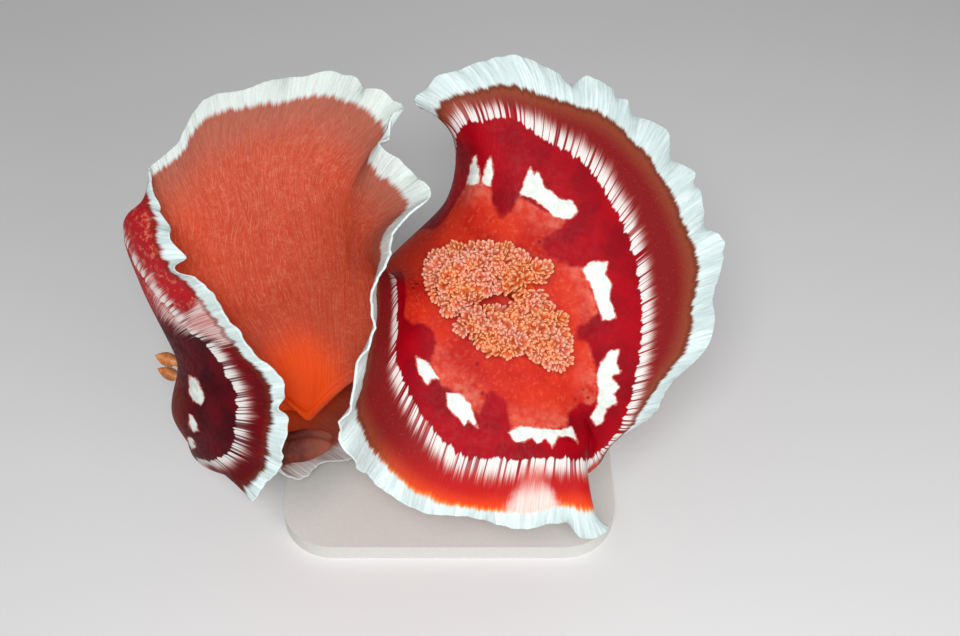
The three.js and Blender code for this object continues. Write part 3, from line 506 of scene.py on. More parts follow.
# Field well outside a marking in pixels, and the pixels of a millimetre where the photo shows none
OUTSIDE = -60.0
PX_PER_MM = 2.4

# Orange middle on the sides that the photo doesn't show: start in millimetres from the margin,
# highest field, and places along the spine over which it ends
HIDDEN_MIDDLE_FROM = 58
HIDDEN_MIDDLE_MOST = 30
HIDDEN_MIDDLE_FADE = 1.6

# White spots inside the ring on the sides that the photo doesn't show, in millimetres
HIDDEN_SPOT_PITCH = 21
HIDDEN_SPOT_IN = 13
HIDDEN_SPOT_SIZE = 4.5

# White margin's width in millimetres on the upper side and below, at places round the margin
WHITE = np.array([
    (0, 9, 6), (1.5, 11, 6), (2.5, 8, 6), (3.5, 5.5, 5), (4.5, 8, 4), (6, 11, 4), (8, 10, 6.5),
    (9.5, 10, 8), (11, 8, 8), (13, 8, 9), (15, 9, 9), (17, 8, 7), (19, 5, 3.5), (20, 3.5, 3),
    (21, 5.5, 3), (23, 4.5, 3), (25, 5.5, 3), (27, 3.5, 3), (30, 7, 6), (37, 10, 8), (39.5, 8, 8),
    (40.5, 12, 8), (41.5, 16, 8), (43.5, 15.5, 8), (45, 13.5, 8), (46.5, 11.5, 8), (47.5, 10, 8),
    (49, 12, 7), (51, 9, 6),
], float)
BAND_START = 12.0

# Distance in millimetres from the margin to the inner tips of the ring of pale streaks, at
# places round the margin
RING = np.array([
    (0, 29), (1.3, 33), (2.3, 31), (3, 27), (4, 29), (4.8, 35), (5.8, 43), (7, 48), (11, 44),
    (15, 40), (19, 34), (21, 28), (22.2, 27), (22.8, 20), (24, 22.5), (25.5, 22), (28, 22),
    (31, 28), (36, 32), (39, 21), (39.9, 22), (40.5, 27), (41.4, 32.5), (42.6, 38), (43.8, 43),
    (45.8, 44.5), (46.5, 41), (47.1, 37), (47.7, 31), (48.4, 24), (49.3, 19), (50.6, 24), (51, 29),
], float)
BAR_PITCH = 5.0


def ellipse(px, py, shape):
    """Distance inwards from an ellipse's rim, roughly, in pixels."""
    x, y, a, b, turn = shape
    c, s = math.cos(math.radians(turn)), math.sin(math.radians(turn))
    dx, dy = px - x, py - y
    return (1 - np.sqrt(((dx * c + dy * s) / a) ** 2 + ((dy * c - dx * s) / b) ** 2)) * min(a, b)


def outline(px, py, corners):
    """Distance inwards from a closed outline, in pixels."""
    corners = np.asarray(corners, float)
    nearest = np.full(px.shape, 1e9)
    inside = np.zeros(px.shape, bool)
    for (x0, y0), (x1, y1) in zip(corners, np.roll(corners, -1, axis=0)):
        f = ((px - x0) * (x1 - x0) + (py - y0) * (y1 - y0)) / ((x1 - x0) ** 2 + (y1 - y0) ** 2)
        f = np.clip(f, 0, 1)
        nearest = np.minimum(nearest, np.hypot(px - x0 - f * (x1 - x0), py - y0 - f * (y1 - y0)))
        if y0 != y1:
            crosses = (np.minimum(y0, y1) <= py) & (py < np.maximum(y0, y1))
            inside ^= crosses & (px < x0 + (py - y0) * (x1 - x0) / (y1 - y0))
    return np.where(inside, nearest, -nearest)


def hidden_spots(place, ring):
    """Distance inwards from uneven white spots, one to each pitch round the margin."""
    number, walk = np.divmod(margin_walk(place), HIDDEN_SPOT_PITCH)
    inwards = ring - HIDDEN_SPOT_IN - 2.5 * np.sin(2.4 * number)
    walk = walk - HIDDEN_SPOT_PITCH / 2 + 0.35 * inwards * np.sin(3.1 * number)
    size = HIDDEN_SPOT_SIZE * (1 + 0.3 * np.sin(1.7 * number))
    return PX_PER_MM * (size - np.hypot(0.75 * walk, inwards))


def pattern_fields(px, py, distance, place, along, dorsal):
    """Soft fields of the markings and of painted light, above zero inside; the material sharpens them.
    """
    on_back, on_top = dorsal > 0.9, dorsal > 0.45
    on_left = place < FRONT_RIB + 1
    disk = smooth((along - DISK_FROM) / DISK_FADE)
    near_flap = smooth((FLAP_TO - along) / FLAP_FADE) * (on_back & on_left)
    ring = distance - np.interp(place, RING[:, 0], RING[:, 1])

    patch = np.full(px.shape, OUTSIDE)
    for name, corners in PATCHES.items():
        seen = on_left & (along < 3.2) if name.startswith("flap") else along > 5
        patch = np.maximum(patch, np.where(seen, outline(px, py, corners), OUTSIDE))
    hidden_side = (place > FRONT_RIB + 2) & (place < 38) | (place > 11) & (place < 19)
    spots = np.where(hidden_side & (along < 5.4), hidden_spots(place, ring), OUTSIDE)
    patch = np.where(on_back, np.maximum(patch, spots), OUTSIDE)

    middle = outline(px, py, MIDDLE)
    for lobe in CRIMSON_LOBES:
        middle = np.minimum(middle, -ellipse(px, py, lobe))
    hidden = np.minimum((distance - HIDDEN_MIDDLE_FROM) * PX_PER_MM, HIDDEN_MIDDLE_MOST)
    hidden = hidden + OUTSIDE * smooth((FLAP_TO - along) / HIDDEN_MIDDLE_FADE)
    middle = np.where(on_back, middle * disk + hidden * (1 - disk), OUTSIDE)

    pale = np.maximum(outline(px, py, FLAP_PALE), outline(px, py, FLAP_PALE_EDGE) - 2)
    pale = np.minimum(pale, FLAP_PALE_TO - distance) + OUTSIDE * (1 - near_flap)
    # Painted light: how much the near flap's upper part is painted paler and mottled
    light = smooth((FLAP_LIGHT_FROM - py) / (FLAP_LIGHT_FROM - FLAP_LIGHT_TO)) * near_flap
    upper, lower = (np.interp(place, WHITE[:, 0], WHITE[:, side]) for side in (1, 2))
    warm = smooth((py - WARM_FROM) / (WARM_TO - WARM_FROM)) * (px > WARM_LEFT) * (px < WARM_RIGHT)
    return {
        "patch": patch, "middle": middle, "pale": pale, "light": light, "warm": warm * disk,
        "band": distance + BAND_START - np.where(on_top, upper, lower),
        "ring": np.where(on_top, ring, OUTSIDE),
        "veil": np.where(on_back & (disk > 0.5), outline(px, py, VEIL), OUTSIDE),
        "hot": np.where(dorsal < 0.1, ellipse(px, py, PAINTED_LIGHT_OVAL), OUTSIDE),
    }


# Materials
class Nodes:
    """Short calls for the nodes of one material."""

    def __init__(self, name):
        self.material = bpy.data.materials.new(name)
        self.material.use_nodes = True
        self.tree = self.material.node_tree
        self.tree.nodes.clear()
        self.place = None
        self.shader = self.add("ShaderNodeBsdfPrincipled")
        self.add("ShaderNodeOutputMaterial", {0: self.shader.outputs[0]})

    def add(self, kind, inputs=None, **settings):
        """A node with its settings, and with values or links for inputs by name or number."""
        node = self.tree.nodes.new(kind)
        for key, value in settings.items():
            setattr(node, key, value)
        for key, value in (inputs or {}).items():
            self.put(node.inputs[key], value)
        return node

    def put(self, socket, value):
        if isinstance(value, bpy.types.NodeSocket):
            self.tree.links.new(value, socket)
        else:
            socket.default_value = value

    def attribute(self, name):
        return self.add("ShaderNodeAttribute", attribute_name=name).outputs["Fac"]

    def math(self, operation, a, b=0.0):
        return self.add("ShaderNodeMath", {0: a, 1: b}, operation=operation).outputs[0]

    def plus(self, a, b):
        return self.math("ADD", a, b)

    def minus(self, a, b):
        return self.math("SUBTRACT", a, b)

    def times(self, a, b):
        return self.math("MULTIPLY", a, b)

    def ramp(self, value, low, high, out_low=0.0, out_high=1.0):
        """Smooth change from out_low at low to out_high at high."""
        inputs = {0: value, 1: low, 2: high, 3: out_low, 4: out_high}
        return self.add("ShaderNodeMapRange", inputs, interpolation_type="SMOOTHSTEP").outputs[0]

    def mix(self, share, a, b):
        """Mix of two colours, where three numbers are an 8-bit screen colour."""
        a, b = (linear(c) if isinstance(c, tuple) and len(c) == 3 else c for c in (a, b))
        return self.add("ShaderNodeMix", {0: share, 6: a, 7: b}, data_type="RGBA").outputs[2]

    def shade(self, value, low, high, a, b):
        return self.mix(self.ramp(value, low, high), a, b)

    def tint(self, color, value, low, high, share, b):
        return self.mix(self.times(self.ramp(value, low, high), share), color, b)

    def noise(self, scale, detail, roughness=0.5, vector=None, distortion=0.0):
        inputs = {"Vector": vector or self.position(), "Scale": scale, "Detail": detail,
                  "Roughness": roughness, "Distortion": distortion}
        return self.add("ShaderNodeTexNoise", inputs).outputs["Fac"]

    def position(self):
        """The place on the object, from one node that is made when it is first asked for."""
        if self.place is None:
            self.place = self.add("ShaderNodeTexCoord").outputs["Object"]
        return self.place

    def combine(self, x, y, z):
        return self.add("ShaderNodeCombineXYZ", {0: x, 1: y, 2: z}).outputs[0]

    def bump(self, height, strength, distance, **before):
        """Relief, on top of another one where Normal= gives it."""
        inputs = {"Height": height, "Strength": strength, "Distance": distance, **before}
        return self.add("ShaderNodeBump", inputs).outputs[0]

    def surface(self, color, roughness, **more):
        """The material, with its finish put on the shader; words are joined by underscores."""
        for name, value in {"Base_Color": color, "Roughness": roughness, **more}.items():
            self.put(self.shader.inputs[name.replace("_", " ")], value)
        return self.material


def linear(color):
    """Scene colour of an 8-bit screen colour."""
    shares = [v / 255 for v in color]
    return (*(v / 12.92 if v <= 0.04045 else ((v + 0.055) / 1.055) ** 2.4 for v in shares), 1.0)


class SkinNodes(Nodes):
    """Nodes of the skin, with the fields and noises that several markings share."""

    def __init__(self):
        super().__init__("skin")
        for name in ("margin", "walk", "along", "warm", "band", "ring", "patch", "light"):
            setattr(self, name, self.attribute(name))
        self.near_flap = self.ramp(self.along, 3.0, 2.2)
        self.slow, self.fine = self.noise(55, 2), self.noise(300, 3)
        self.rays = self.radial(1.3, 0.03, 3, 0.6)
        self.strands = self.radial(2.4, 0.03, 3, 0.65, 9.1)
        # Rays of painted shade in the creases of the white margins
        self.crease_shade = self.radial(0.9, 0.08, 3, 0.6, 1.3)
        self.folds = self.radial(0.22, 0.02, 2, 0.5, 8.3)
        mottle = self.noise(330, 3, 0.6)
        self.mottled = self.shade(mottle, 0.5, 0.68, (172, 26, 34), (206, 104, 84))
        uneven = self.plus(self.swing(self.slow, 4.0), self.swing(self.rays, 2.5))
        ragged = self.swing(self.radial(0.35, 0.04, 2, 0.6, 2.9), 5.0)
        self.ragged_band = self.plus(self.band, self.plus(uneven, ragged))
        veil = self.plus(self.swing(self.fine, 8), self.swing(self.strands, 12))
        veil = self.ramp(self.plus(self.attribute("veil"), veil), -3, 9)
        self.veiled = self.times(veil, self.ramp(self.rays, 0.2, 0.6, 0.6, 1))

    def radial(self, across, along_it, detail, roughness, shift=0.0):
        """Noise in rays that run in from the margin."""
        at = self.combine(self.times(self.walk, across), self.times(self.margin, along_it), shift)
        return self.noise(1.0, detail, roughness, at)

    def swing(self, value, size):
        """Noise as a swing to both sides of zero."""
        return self.times(self.minus(value, 0.5), size)


def back_middle(n):
    """Orange-red with a paler side towards the white patches and dark dots."""
    color = n.shade(n.noise(60, 3), 0.35, 0.7, (200, 48, 26), (176, 26, 18))
    halo = n.times(n.ramp(n.patch, -32, 0), n.ramp(n.fine, 0.25, 0.8))
    color = n.mix(n.times(halo, 0.8), color, (212, 116, 98))
    flecks = n.times(n.ramp(n.noise(520, 3, 0.6), 0.5, 0.75), 0.28)
    color = n.mix(flecks, color, (226, 112, 80))
    dots = n.add("ShaderNodeTexVoronoi", {"Vector": n.position(), "Scale": 200}, feature="F1")
    dot = n.ramp(dots.outputs["Distance"], 0.12, 0.24, 1, 0)
    dot = n.times(dot, n.ramp(n.noise(60, 1), 0.54, 0.64))
    return n.mix(n.times(dot, 0.8), color, (120, 6, 14))


def crimson_field(n):
    """Crimson round the middle; painted shade makes it darker on the near flap and brownish deep
    inside it, and painted light makes it paler and mottled where light falls on the flap's upper part.
    """
    clouds = n.ramp(n.noise(80, 3), 0.3, 0.7)
    color = n.mix(clouds, (160, 0, 18), (130, 0, 16))
    # Painted shade: darker crimson on the near flap
    color = n.mix(n.near_flap, color, n.mix(clouds, (88, 0, 14), (58, 0, 10)))
    # Painted light: paler, mottled red on the near flap's upper part
    color = n.mix(n.light, color, n.mottled)
    # Painted shade: brownish deep inside the near flap
    return n.mix(n.times(n.near_flap, n.ramp(n.margin, 50, 68)), color, (110, 30, 18))


def outer_band(n):
    """Brownish with pale specks, warmer towards the bottom; painted shade makes it darker on the near
    flap, and painted light makes it paler and mottled on the flap's upper part.
    """
    color = n.shade(n.band, 13, 24, (136, 64, 44), (126, 24, 26))
    # Painted shade: darker band on the near flap
    flap = n.shade(n.slow, 0.4, 0.6, (112, 4, 14), (92, 6, 14))
    color = n.mix(n.near_flap, color, flap)
    # Painted light: paler, mottled band on the near flap's upper part
    color = n.mix(n.light, color, n.mottled)
    specks = n.ramp(n.noise(1100, 2, 0.6), 0.6, 0.75)
    specks = n.times(specks, n.ramp(n.along, 2.2, 3.0, 0.05, 0.24))
    color = n.mix(specks, color, (180, 110, 96))
    warm = n.shade(n.band, 12, 22, (226, 68, 30), (186, 22, 22))
    return n.mix(n.warm, color, warm)


def add_ring(n, color):
    """Ring of pale bars, rounded on their inner ends and fading in rays outwards."""
    count = n.plus(n.times(n.walk, 1 / BAR_PITCH), n.swing(n.radial(0.16, 0, 2, 0.6, 3.7), 4.0))
    bar = n.math("ABSOLUTE", n.math("SINE", n.times(count, math.pi)))
    uneven = n.plus(n.swing(n.radial(0.3, 0, 1, 0.5, 6.3), 5.0), n.swing(n.strands, 1.6))
    inner = n.plus(n.times(n.math("POWER", bar, 0.6), 1.5), n.minus(uneven, 1.5))
    teeth = n.ramp(n.minus(n.ring, inner), -0.5, 0.4, 1, 0)
    gap_depth = n.ramp(n.radial(0.13, 0, 1, 0.5, 4.4), 0.4, 0.6, 0.86, 1)
    gaps = n.ramp(n.plus(bar, n.swing(n.strands, 0.6)), 0.26, 0.62)
    gaps = n.minus(1, n.times(gap_depth, n.minus(1, gaps)))
    combed = n.ramp(n.plus(n.strands, n.times(n.ring, 0.035)), 0.1, 0.38, 0.15, 1)
    torn = n.plus(n.swing(n.rays, 7), n.swing(n.radial(0.3, 0, 1, 0.5, 7.7), 8))
    outer = n.ramp(n.plus(n.ring, torn), -11, -5)
    ring = n.times(n.times(teeth, outer), n.times(gaps, combed))
    streak = n.shade(n.ring, -9, -3, (196, 142, 134), (226, 224, 220))
    return n.mix(n.times(ring, 0.94), color, streak)


def add_veils(n, color):
    """Pale rays on the near flap, and the veil over the disk's lower margin."""
    pale = n.plus(n.attribute("pale"), n.plus(n.swing(n.strands, 26), n.swing(n.rays, 14)))
    tint = n.shade(n.strands, 0.35, 0.65, (204, 128, 124), (226, 214, 210))
    color = n.mix(n.times(n.ramp(pale, -3, 7), 0.88), color, tint)
    tint = n.shade(n.plus(n.ring, n.swing(n.strands, 14)), -17, -6, (230, 216, 208), (214, 92, 84))
    return n.mix(n.times(n.veiled, n.ramp(n.ring, -16, -4, 0.92, 0.5)), color, tint)


def add_patches(n, color):
    """White patches with a pinkish rim."""
    rough = n.plus(n.patch, n.swing(n.noise(420, 3), 5.0))
    color = n.tint(color, rough, -2.0, -0.4, 0.6, (222, 140, 126))
    white = n.shade(n.fine, 0.3, 0.7, (206, 214, 208), (232, 236, 230))
    return n.mix(n.ramp(rough, -0.8, 0.6), color, white)


def add_margin(n, color):
    """Cool white with painted shade in grey creases and folds, a brown line of painted shadow inside
    it, yellow where the band is warm.
    """
    # Painted shadow: brown line along the inner edge of the white margin
    inner_shadow_line = n.ramp(n.math("ABSOLUTE", n.minus(n.ragged_band, 13.4)), 0.4, 2.2, 0.55, 0)
    color = n.mix(n.times(inner_shadow_line, n.minus(1, n.warm)), color, (96, 44, 26))
    yellow = n.times(n.ramp(n.ragged_band, 15.0, 12.2), n.times(n.warm, 0.8))
    color = n.mix(n.times(yellow, n.minus(1, n.veiled)), color, (226, 140, 62))
    # Painted shade: grey lines in the creases of the white margin
    white = n.shade(n.crease_shade, 0.28, 0.6, (192, 208, 206), (218, 232, 232))
    # Painted shade in the folds, which the relief also raises
    fold_shade = n.times(n.ramp(n.folds, 0.42, 0.6, 1, 0), 0.4)
    white = n.mix(fold_shade, white, (176, 194, 192))
    return n.mix(n.ramp(n.ragged_band, 10.8, 13.2), white, color)


def underside(n):
    """Orange with fine fibres, pinkish and duller towards the margin; painted light makes it bright
    orange at its front and in an oval low down, where shade falls.
    """
    wander = n.plus(n.walk, n.swing(n.noise(15, 1), 55))
    fibres = n.noise(1.0, 4, 0.65, n.combine(n.times(wander, 1.5), n.times(n.margin, 0.1), 5.5))
    across = n.minus(n.walk, n.swing(n.noise(20, 1), 75))
    hairs = n.noise(1.0, 2, 0.5, n.combine(n.times(across, 1.3), n.times(n.margin, 0.22), 2.2))
    weave = n.noise(460, 4, 0.62, distortion=1.2)
    color = n.shade(fibres, 0.3, 0.72, (170, 58, 38), (194, 80, 54))
    color = n.tint(color, weave, 0.45, 0.68, 0.34, (204, 116, 92))
    color = n.tint(color, n.slow, 0.45, 0.65, 0.25, (172, 66, 36))
    color = n.tint(color, hairs, 0.56, 0.66, 0.3, (214, 136, 108))
    # Painted light: bright orange at the front of the underside and in the oval low down
    low = n.times(n.ramp(n.along, 3.4, 1.4), n.ramp(n.margin, 8, 20))
    hot = n.ramp(n.plus(n.attribute("hot"), n.swing(fibres, 10)), -14, 34)
    painted_light_orange = n.mix(fibres, (240, 66, 10), (250, 98, 26))
    color = n.mix(n.times(n.math("MAXIMUM", low, hot), 0.9), color, painted_light_orange)
    rim = n.ramp(n.plus(n.band, n.times(n.slow, 12)), 18, 44, 0.7, 0)
    color = n.mix(rim, color, n.mix(fibres, (132, 78, 66), (172, 112, 94)))
    # Painted shade: grey lines in the creases of the white margin below
    white = n.mix(n.crease_shade, (186, 194, 190), (224, 234, 230))
    return n.mix(n.ramp(n.ragged_band, 10.5, 13.5), white, color)


def skin_relief(n):
    """Wrinkles and folds that run in from the margin, and fine pebbles all over."""
    wrinkles = n.times(n.radial(0.8, 0.12, 3, 0.55), n.ramp(n.margin, 2, 26, 0.7, 0.12))
    height = n.plus(wrinkles, n.times(n.folds, n.ramp(n.margin, 2, 22, 1.1, 0)))
    return n.bump(n.noise(700, 3, 0.55), 0.25, 0.0005, Normal=n.bump(height, 0.7, 0.0014))


def skin_material():
    n = SkinNodes()
    border = n.plus(n.attribute("middle"), n.swing(n.noise(150, 3), 9.0))
    color = n.mix(n.ramp(border, -2.5, 2.5), crimson_field(n), back_middle(n))
    inside = n.ramp(n.plus(n.ring, n.swing(n.rays, 5)), -7, -3)
    color = n.mix(inside, outer_band(n), color)
    for add in (add_ring, add_veils, add_patches, add_margin):
        color = add(n, color)
    color = n.mix(n.ramp(n.attribute("dorsal"), 0.4, 0.6), underside(n), color)
    roughness = n.ramp(n.noise(400, 2), 0.3, 0.7, 0.44, 0.6)
    return n.surface(color, roughness, Normal=skin_relief(n), Specular_IOR_Level=0.08,
                     Subsurface_Weight=0.05, Subsurface_Radius=(0.003, 0.001, 0.0008),
                     Subsurface_Scale=0.5)


def gill_material():
    n = Nodes("gill")
    tip = n.attribute("tip")
    region = n.ramp(n.noise(110, 2), 0.36, 0.64)
    blade = n.mix(region, (212, 104, 48), (212, 112, 82))
    inner = n.shade(n.noise(260, 2), 0.4, 0.6, (222, 84, 26), (220, 96, 56))
    color = n.mix(n.ramp(tip, 0.3, 0.62), inner, blade)
    rim = n.mix(region, (232, 164, 118), (230, 170, 148))
    color = n.mix(n.times(n.ramp(tip, 0.74, 0.96), 0.85), color, rim)
    return n.surface(color, 0.42, Normal=n.bump(n.noise(900, 3), 0.3, 0.0004),
                     Specular_IOR_Level=0.3, Subsurface_Weight=0.1,
                     Subsurface_Radius=(0.003, 0.0012, 0.0008), Subsurface_Scale=0.4)


def horn_material():
    n = Nodes("rhinophore")
    color = n.shade(n.noise(500, 3), 0.35, 0.7, (196, 120, 60), (224, 160, 104))
    return n.surface(color, 0.45, Normal=n.bump(n.noise(1200, 2), 0.3, 0.0003))


def steel_material():
    n = Nodes("stand_steel")
    at = n.add("ShaderNodeMapping", {"Vector": n.position(), "Scale": (1.0, 1.0, 60.0)})
    lines = n.noise(60, 3, 0.6, at.outputs[0])
    color = n.mix(lines, (0.5, 0.51, 0.53, 1), (0.66, 0.67, 0.69, 1))
    roughness = n.ramp(lines, 0.3, 0.7, 0.28, 0.42)
    return n.surface(color, roughness, Normal=n.bump(lines, 0.15, 0.0002), Metallic=1.0)


def base_material():
    n = Nodes("stand_base")
    color = n.mix(n.noise(700, 3), (0.62, 0.61, 0.58, 1), (0.70, 0.69, 0.66, 1))
    roughness = n.ramp(n.noise(120, 3), 0.3, 0.7, 0.42, 0.56)
    return n.surface(color, roughness, Normal=n.bump(n.noise(1500, 2), 0.2, 0.0002))


def tentacle_material():
    n = Nodes("oral_tentacle")
    color = n.shade(n.noise(240, 3), 0.3, 0.7, (76, 24, 18), (112, 48, 34))
    color = n.mix(n.ramp(n.attribute("tip"), 0.7, 1.0), color, (136, 72, 56))
    relief = n.bump(n.noise(600, 3), 0.3, 0.0005)
    return n.surface(color, 0.55, Normal=relief, Specular_IOR_Level=0.15)


def floor_material():
    n = Nodes("floor")
    return n.surface(n.mix(n.noise(3, 2), (0.72, 0.72, 0.72, 1), (0.76, 0.76, 0.76, 1)), 0.8)


# Small forms out of tapered tubes
class Tubes:
    """Many closed tubes gathered into one mesh."""

    def __init__(self, sides):
        self.sides = sides
        self.points, self.quads, self.triangles, self.tips = [], [], [], []
        self.count = 0

    def add(self, line, radii, flat=1.0, tip=(0, 1), level=(0.0, 0.0, 1.0)):
        """A tube along a line, flattened across level; tip is how near the tip its ends are."""
        line, radii, level = (np.asarray(a, float) for a in (line, radii, level))
        run = unit(np.gradient(line, axis=0))
        if abs(run[0] @ level) > 0.95:
            level = np.array([1.0, 0.0, 0.0])
        broad = unit(np.cross(run, level))
        thin = np.cross(broad, run)
        turn = 2 * math.pi * np.arange(self.sides) / self.sides
        radii = radii[:, None, None]
        ring = (line[:, None] + broad[:, None] * (radii * np.cos(turn)[None, :, None])
                + thin[:, None] * (radii * flat * np.sin(turn)[None, :, None]))
        count, sides, base = len(line), self.sides, self.count
        self.points += [ring.reshape(-1, 3), line[[0, -1]]]
        self.tips += [np.repeat(np.linspace(*tip, count), sides), np.array(tip, float)]
        end, last = base + count * sides, base + (count - 1) * sides
        neighbours = [(j, (j + 1) % sides) for j in range(sides)]
        for low in range(base, last, sides):
            self.quads += [(low + j, low + k, low + sides + k, low + sides + j)
                           for j, k in neighbours]
        for j, k in neighbours:
            self.triangles += [(end, base + k, base + j), (end + 1, last + j, last + k)]
        self.count += count * sides + 2

    def build(self, name):
        obj = make_mesh(name, to_world(np.concatenate(self.points)), self.quads, self.triangles)
        set_attribute(obj, "tip", np.concatenate(self.tips))
        return obj


# Gills: roots and crowns as in the solids, and the outlines of the two clumps that the crowns
# fill, in the photo's pixels
GILL_RING = (7.0, 7.4)
GILLS = [
    (7.36, 6, -20, 7.4),
    (7.59, -7, -4, 15.7),
    (8.12, -8.5, 12.4, 7),
    (8.65, -3, 21.5, -14.5),
    (8.44, 7, 6.6, -18.6),
    (8.0, 8.5, -7.8, -9),
]
CROWN_HEIGHT = 9.0
CLUMPS = [
    [
        (424, 252), (442, 246), (467, 241), (485, 239), (493, 243), (502, 240), (514, 242),
        (526, 250), (534, 264), (547, 265), (553, 270), (546, 278), (537, 285), (525, 287),
        (513, 292), (502, 294), (491, 288), (484, 294), (478, 302), (468, 307), (460, 317),
        (446, 316), (436, 309), (434, 297), (429, 284), (425, 268),
    ],
    [
        (457, 328), (462, 316), (473, 309), (487, 306), (500, 308), (508, 304), (513, 298),
        (522, 291), (534, 289), (545, 296), (551, 306), (561, 313), (567, 326), (572, 342),
        (571, 360), (564, 371), (549, 367), (536, 360), (525, 356), (507, 360), (494, 356),
        (484, 349), (476, 342), (468, 334),
    ],
]
# Level of the clumps in the pose frame, and how the florets fill them, in millimetres
CLUMP_LEVEL = 24.0
FLORET_SPACING = 3.6
FLORET_ROW = 0.87
FLORET_SIZE = 3.9
FLORET_RISE = 5.2
RISE_WIDTH = 3.6
SCATTER = 0.45
TRUNK_RADII = [4.4, 3.8, 3.6, 2.0]
STEM_RADII = [1.6, 1.5, 1.4, 1.3, 1.0]

# Leaflets of a floret: number, leans from its axis in degrees, half width for its length, and
# outline as shares of that half width
PETALS = 11
OUTER_LEAN, INNER_LEAN = 68, 32
LEAF_WIDTH = 0.31
LEAF_OUTLINE = [0.3, 0.7, 0.95, 1, 0.85, 0.4]
LEAF_FLAT = 0.42

# Rhinophores: place along the spine and to its sides; heights and radii of the stalk; number,
# first height, span, half thickness and radius of the leaflets
RHINOPHORE_AT = 1.75
RHINOPHORE_SIDE = 8
STALK_HEIGHTS = [-3, 0, 1.5, 3, 4, 6, 8, 10, 12, 12.9]
STALK_RADII = [2.6, 2.3, 1.9, 1.75, 1.9, 2.2, 2.1, 1.6, 0.8, 0.2]
LEAFLETS = 13
LEAFLET_FROM, LEAFLET_SPAN = 4.2, 7.6
LEAFLET_THICK = 0.16
LEAFLET_RADIUS = 3.2

# Oral tentacles: line of the left one, the right one's offset, half width, flatness and scallops
TENTACLE = [(-107, -50, 9), (-90, -57, 10), (-63, -54, 5)]
RIGHT_TENTACLE = (-2, 2, -18)
TENTACLE_WIDTH = 4.5
TENTACLE_FLAT = 0.27
TENTACLE_SCALLOPS = 4


def back_point(along, left):
    """Point of the back and its normal, left millimetres to the left of a place on the spine."""
    share = float(share_of(np.array(along)))
    place = place_of(np.array([SECTIONS * (1 - share) if left > 0 else SECTIONS * (1 + share)]))
    reach = np.array([[0.5 * abs(left) / rib_at(place)["reach"][0]]])
    top, normal, _, _ = mantle(place, reach)
    return top[0, 0], normal[0, 0]


def bent(start, run, lift, length, steps, curl):
    """Line that leaves along run and curls towards lift."""
    f = np.linspace(0, 1, steps)[:, None]
    return start + run * (length * (f - 0.25 * curl * f ** 2)) + lift * (length * curl * f ** 2)


def floret(tubes, centre, axis, size):
    """Rosette of rounded, flat leaflets round an axis, the inner ones steeper."""
    side = unit(np.cross(axis, [0.3, 0.9, 0.2]))
    other = np.cross(axis, side)
    first = 2 * math.pi * rng.random()
    for k in range(PETALS):
        lean = math.radians(INNER_LEAN if k % 3 == 2 else OUTER_LEAN) * (0.85 + 0.3 * rng.random())
        turn = first + 2 * math.pi * k / PETALS + 0.25 * rng.random()
        run = axis * math.cos(lean) + (side * math.cos(turn) + other * math.sin(turn)) * math.sin(lean)
        leaf = bent(centre, run, axis, size * (0.85 + 0.3 * rng.random()), len(LEAF_OUTLINE), 0.3)
        radii = [share * LEAF_WIDTH * size for share in LEAF_OUTLINE]
        tubes.add(leaf, radii, LEAF_FLAT, (0.3, 1.0), axis)


def gill_spots():
    """Middles of the florets: a loose triangle pattern inside the two clumps, in the pose frame."""
    spots = []
    for clump in CLUMPS:
        corners = np.asarray(clump, float)
        scale = (CAMERA_DISTANCE - CLUMP_LEVEL) / FOCAL_PX
        low, high = corners.min(axis=0), corners.max(axis=0)
        step = FLORET_SPACING / scale
        for row in range(int((high[1] - low[1]) / (step * FLORET_ROW)) + 1):
            for column in range(int((high[0] - low[0]) / step) + 1):
                x = low[0] + step * (column + 0.5 * (row % 2) + SCATTER * (rng.random() - 0.5))
                y = low[1] + step * (FLORET_ROW * row + SCATTER * (rng.random() - 0.5))
                inwards = float(outline(np.array(x), np.array(y), corners)) * scale
                if inwards > 0.7:
                    spots.append(((x - IMAGE[0] / 2) * scale, (IMAGE[1] / 2 - y) * scale, inwards))
    return spots


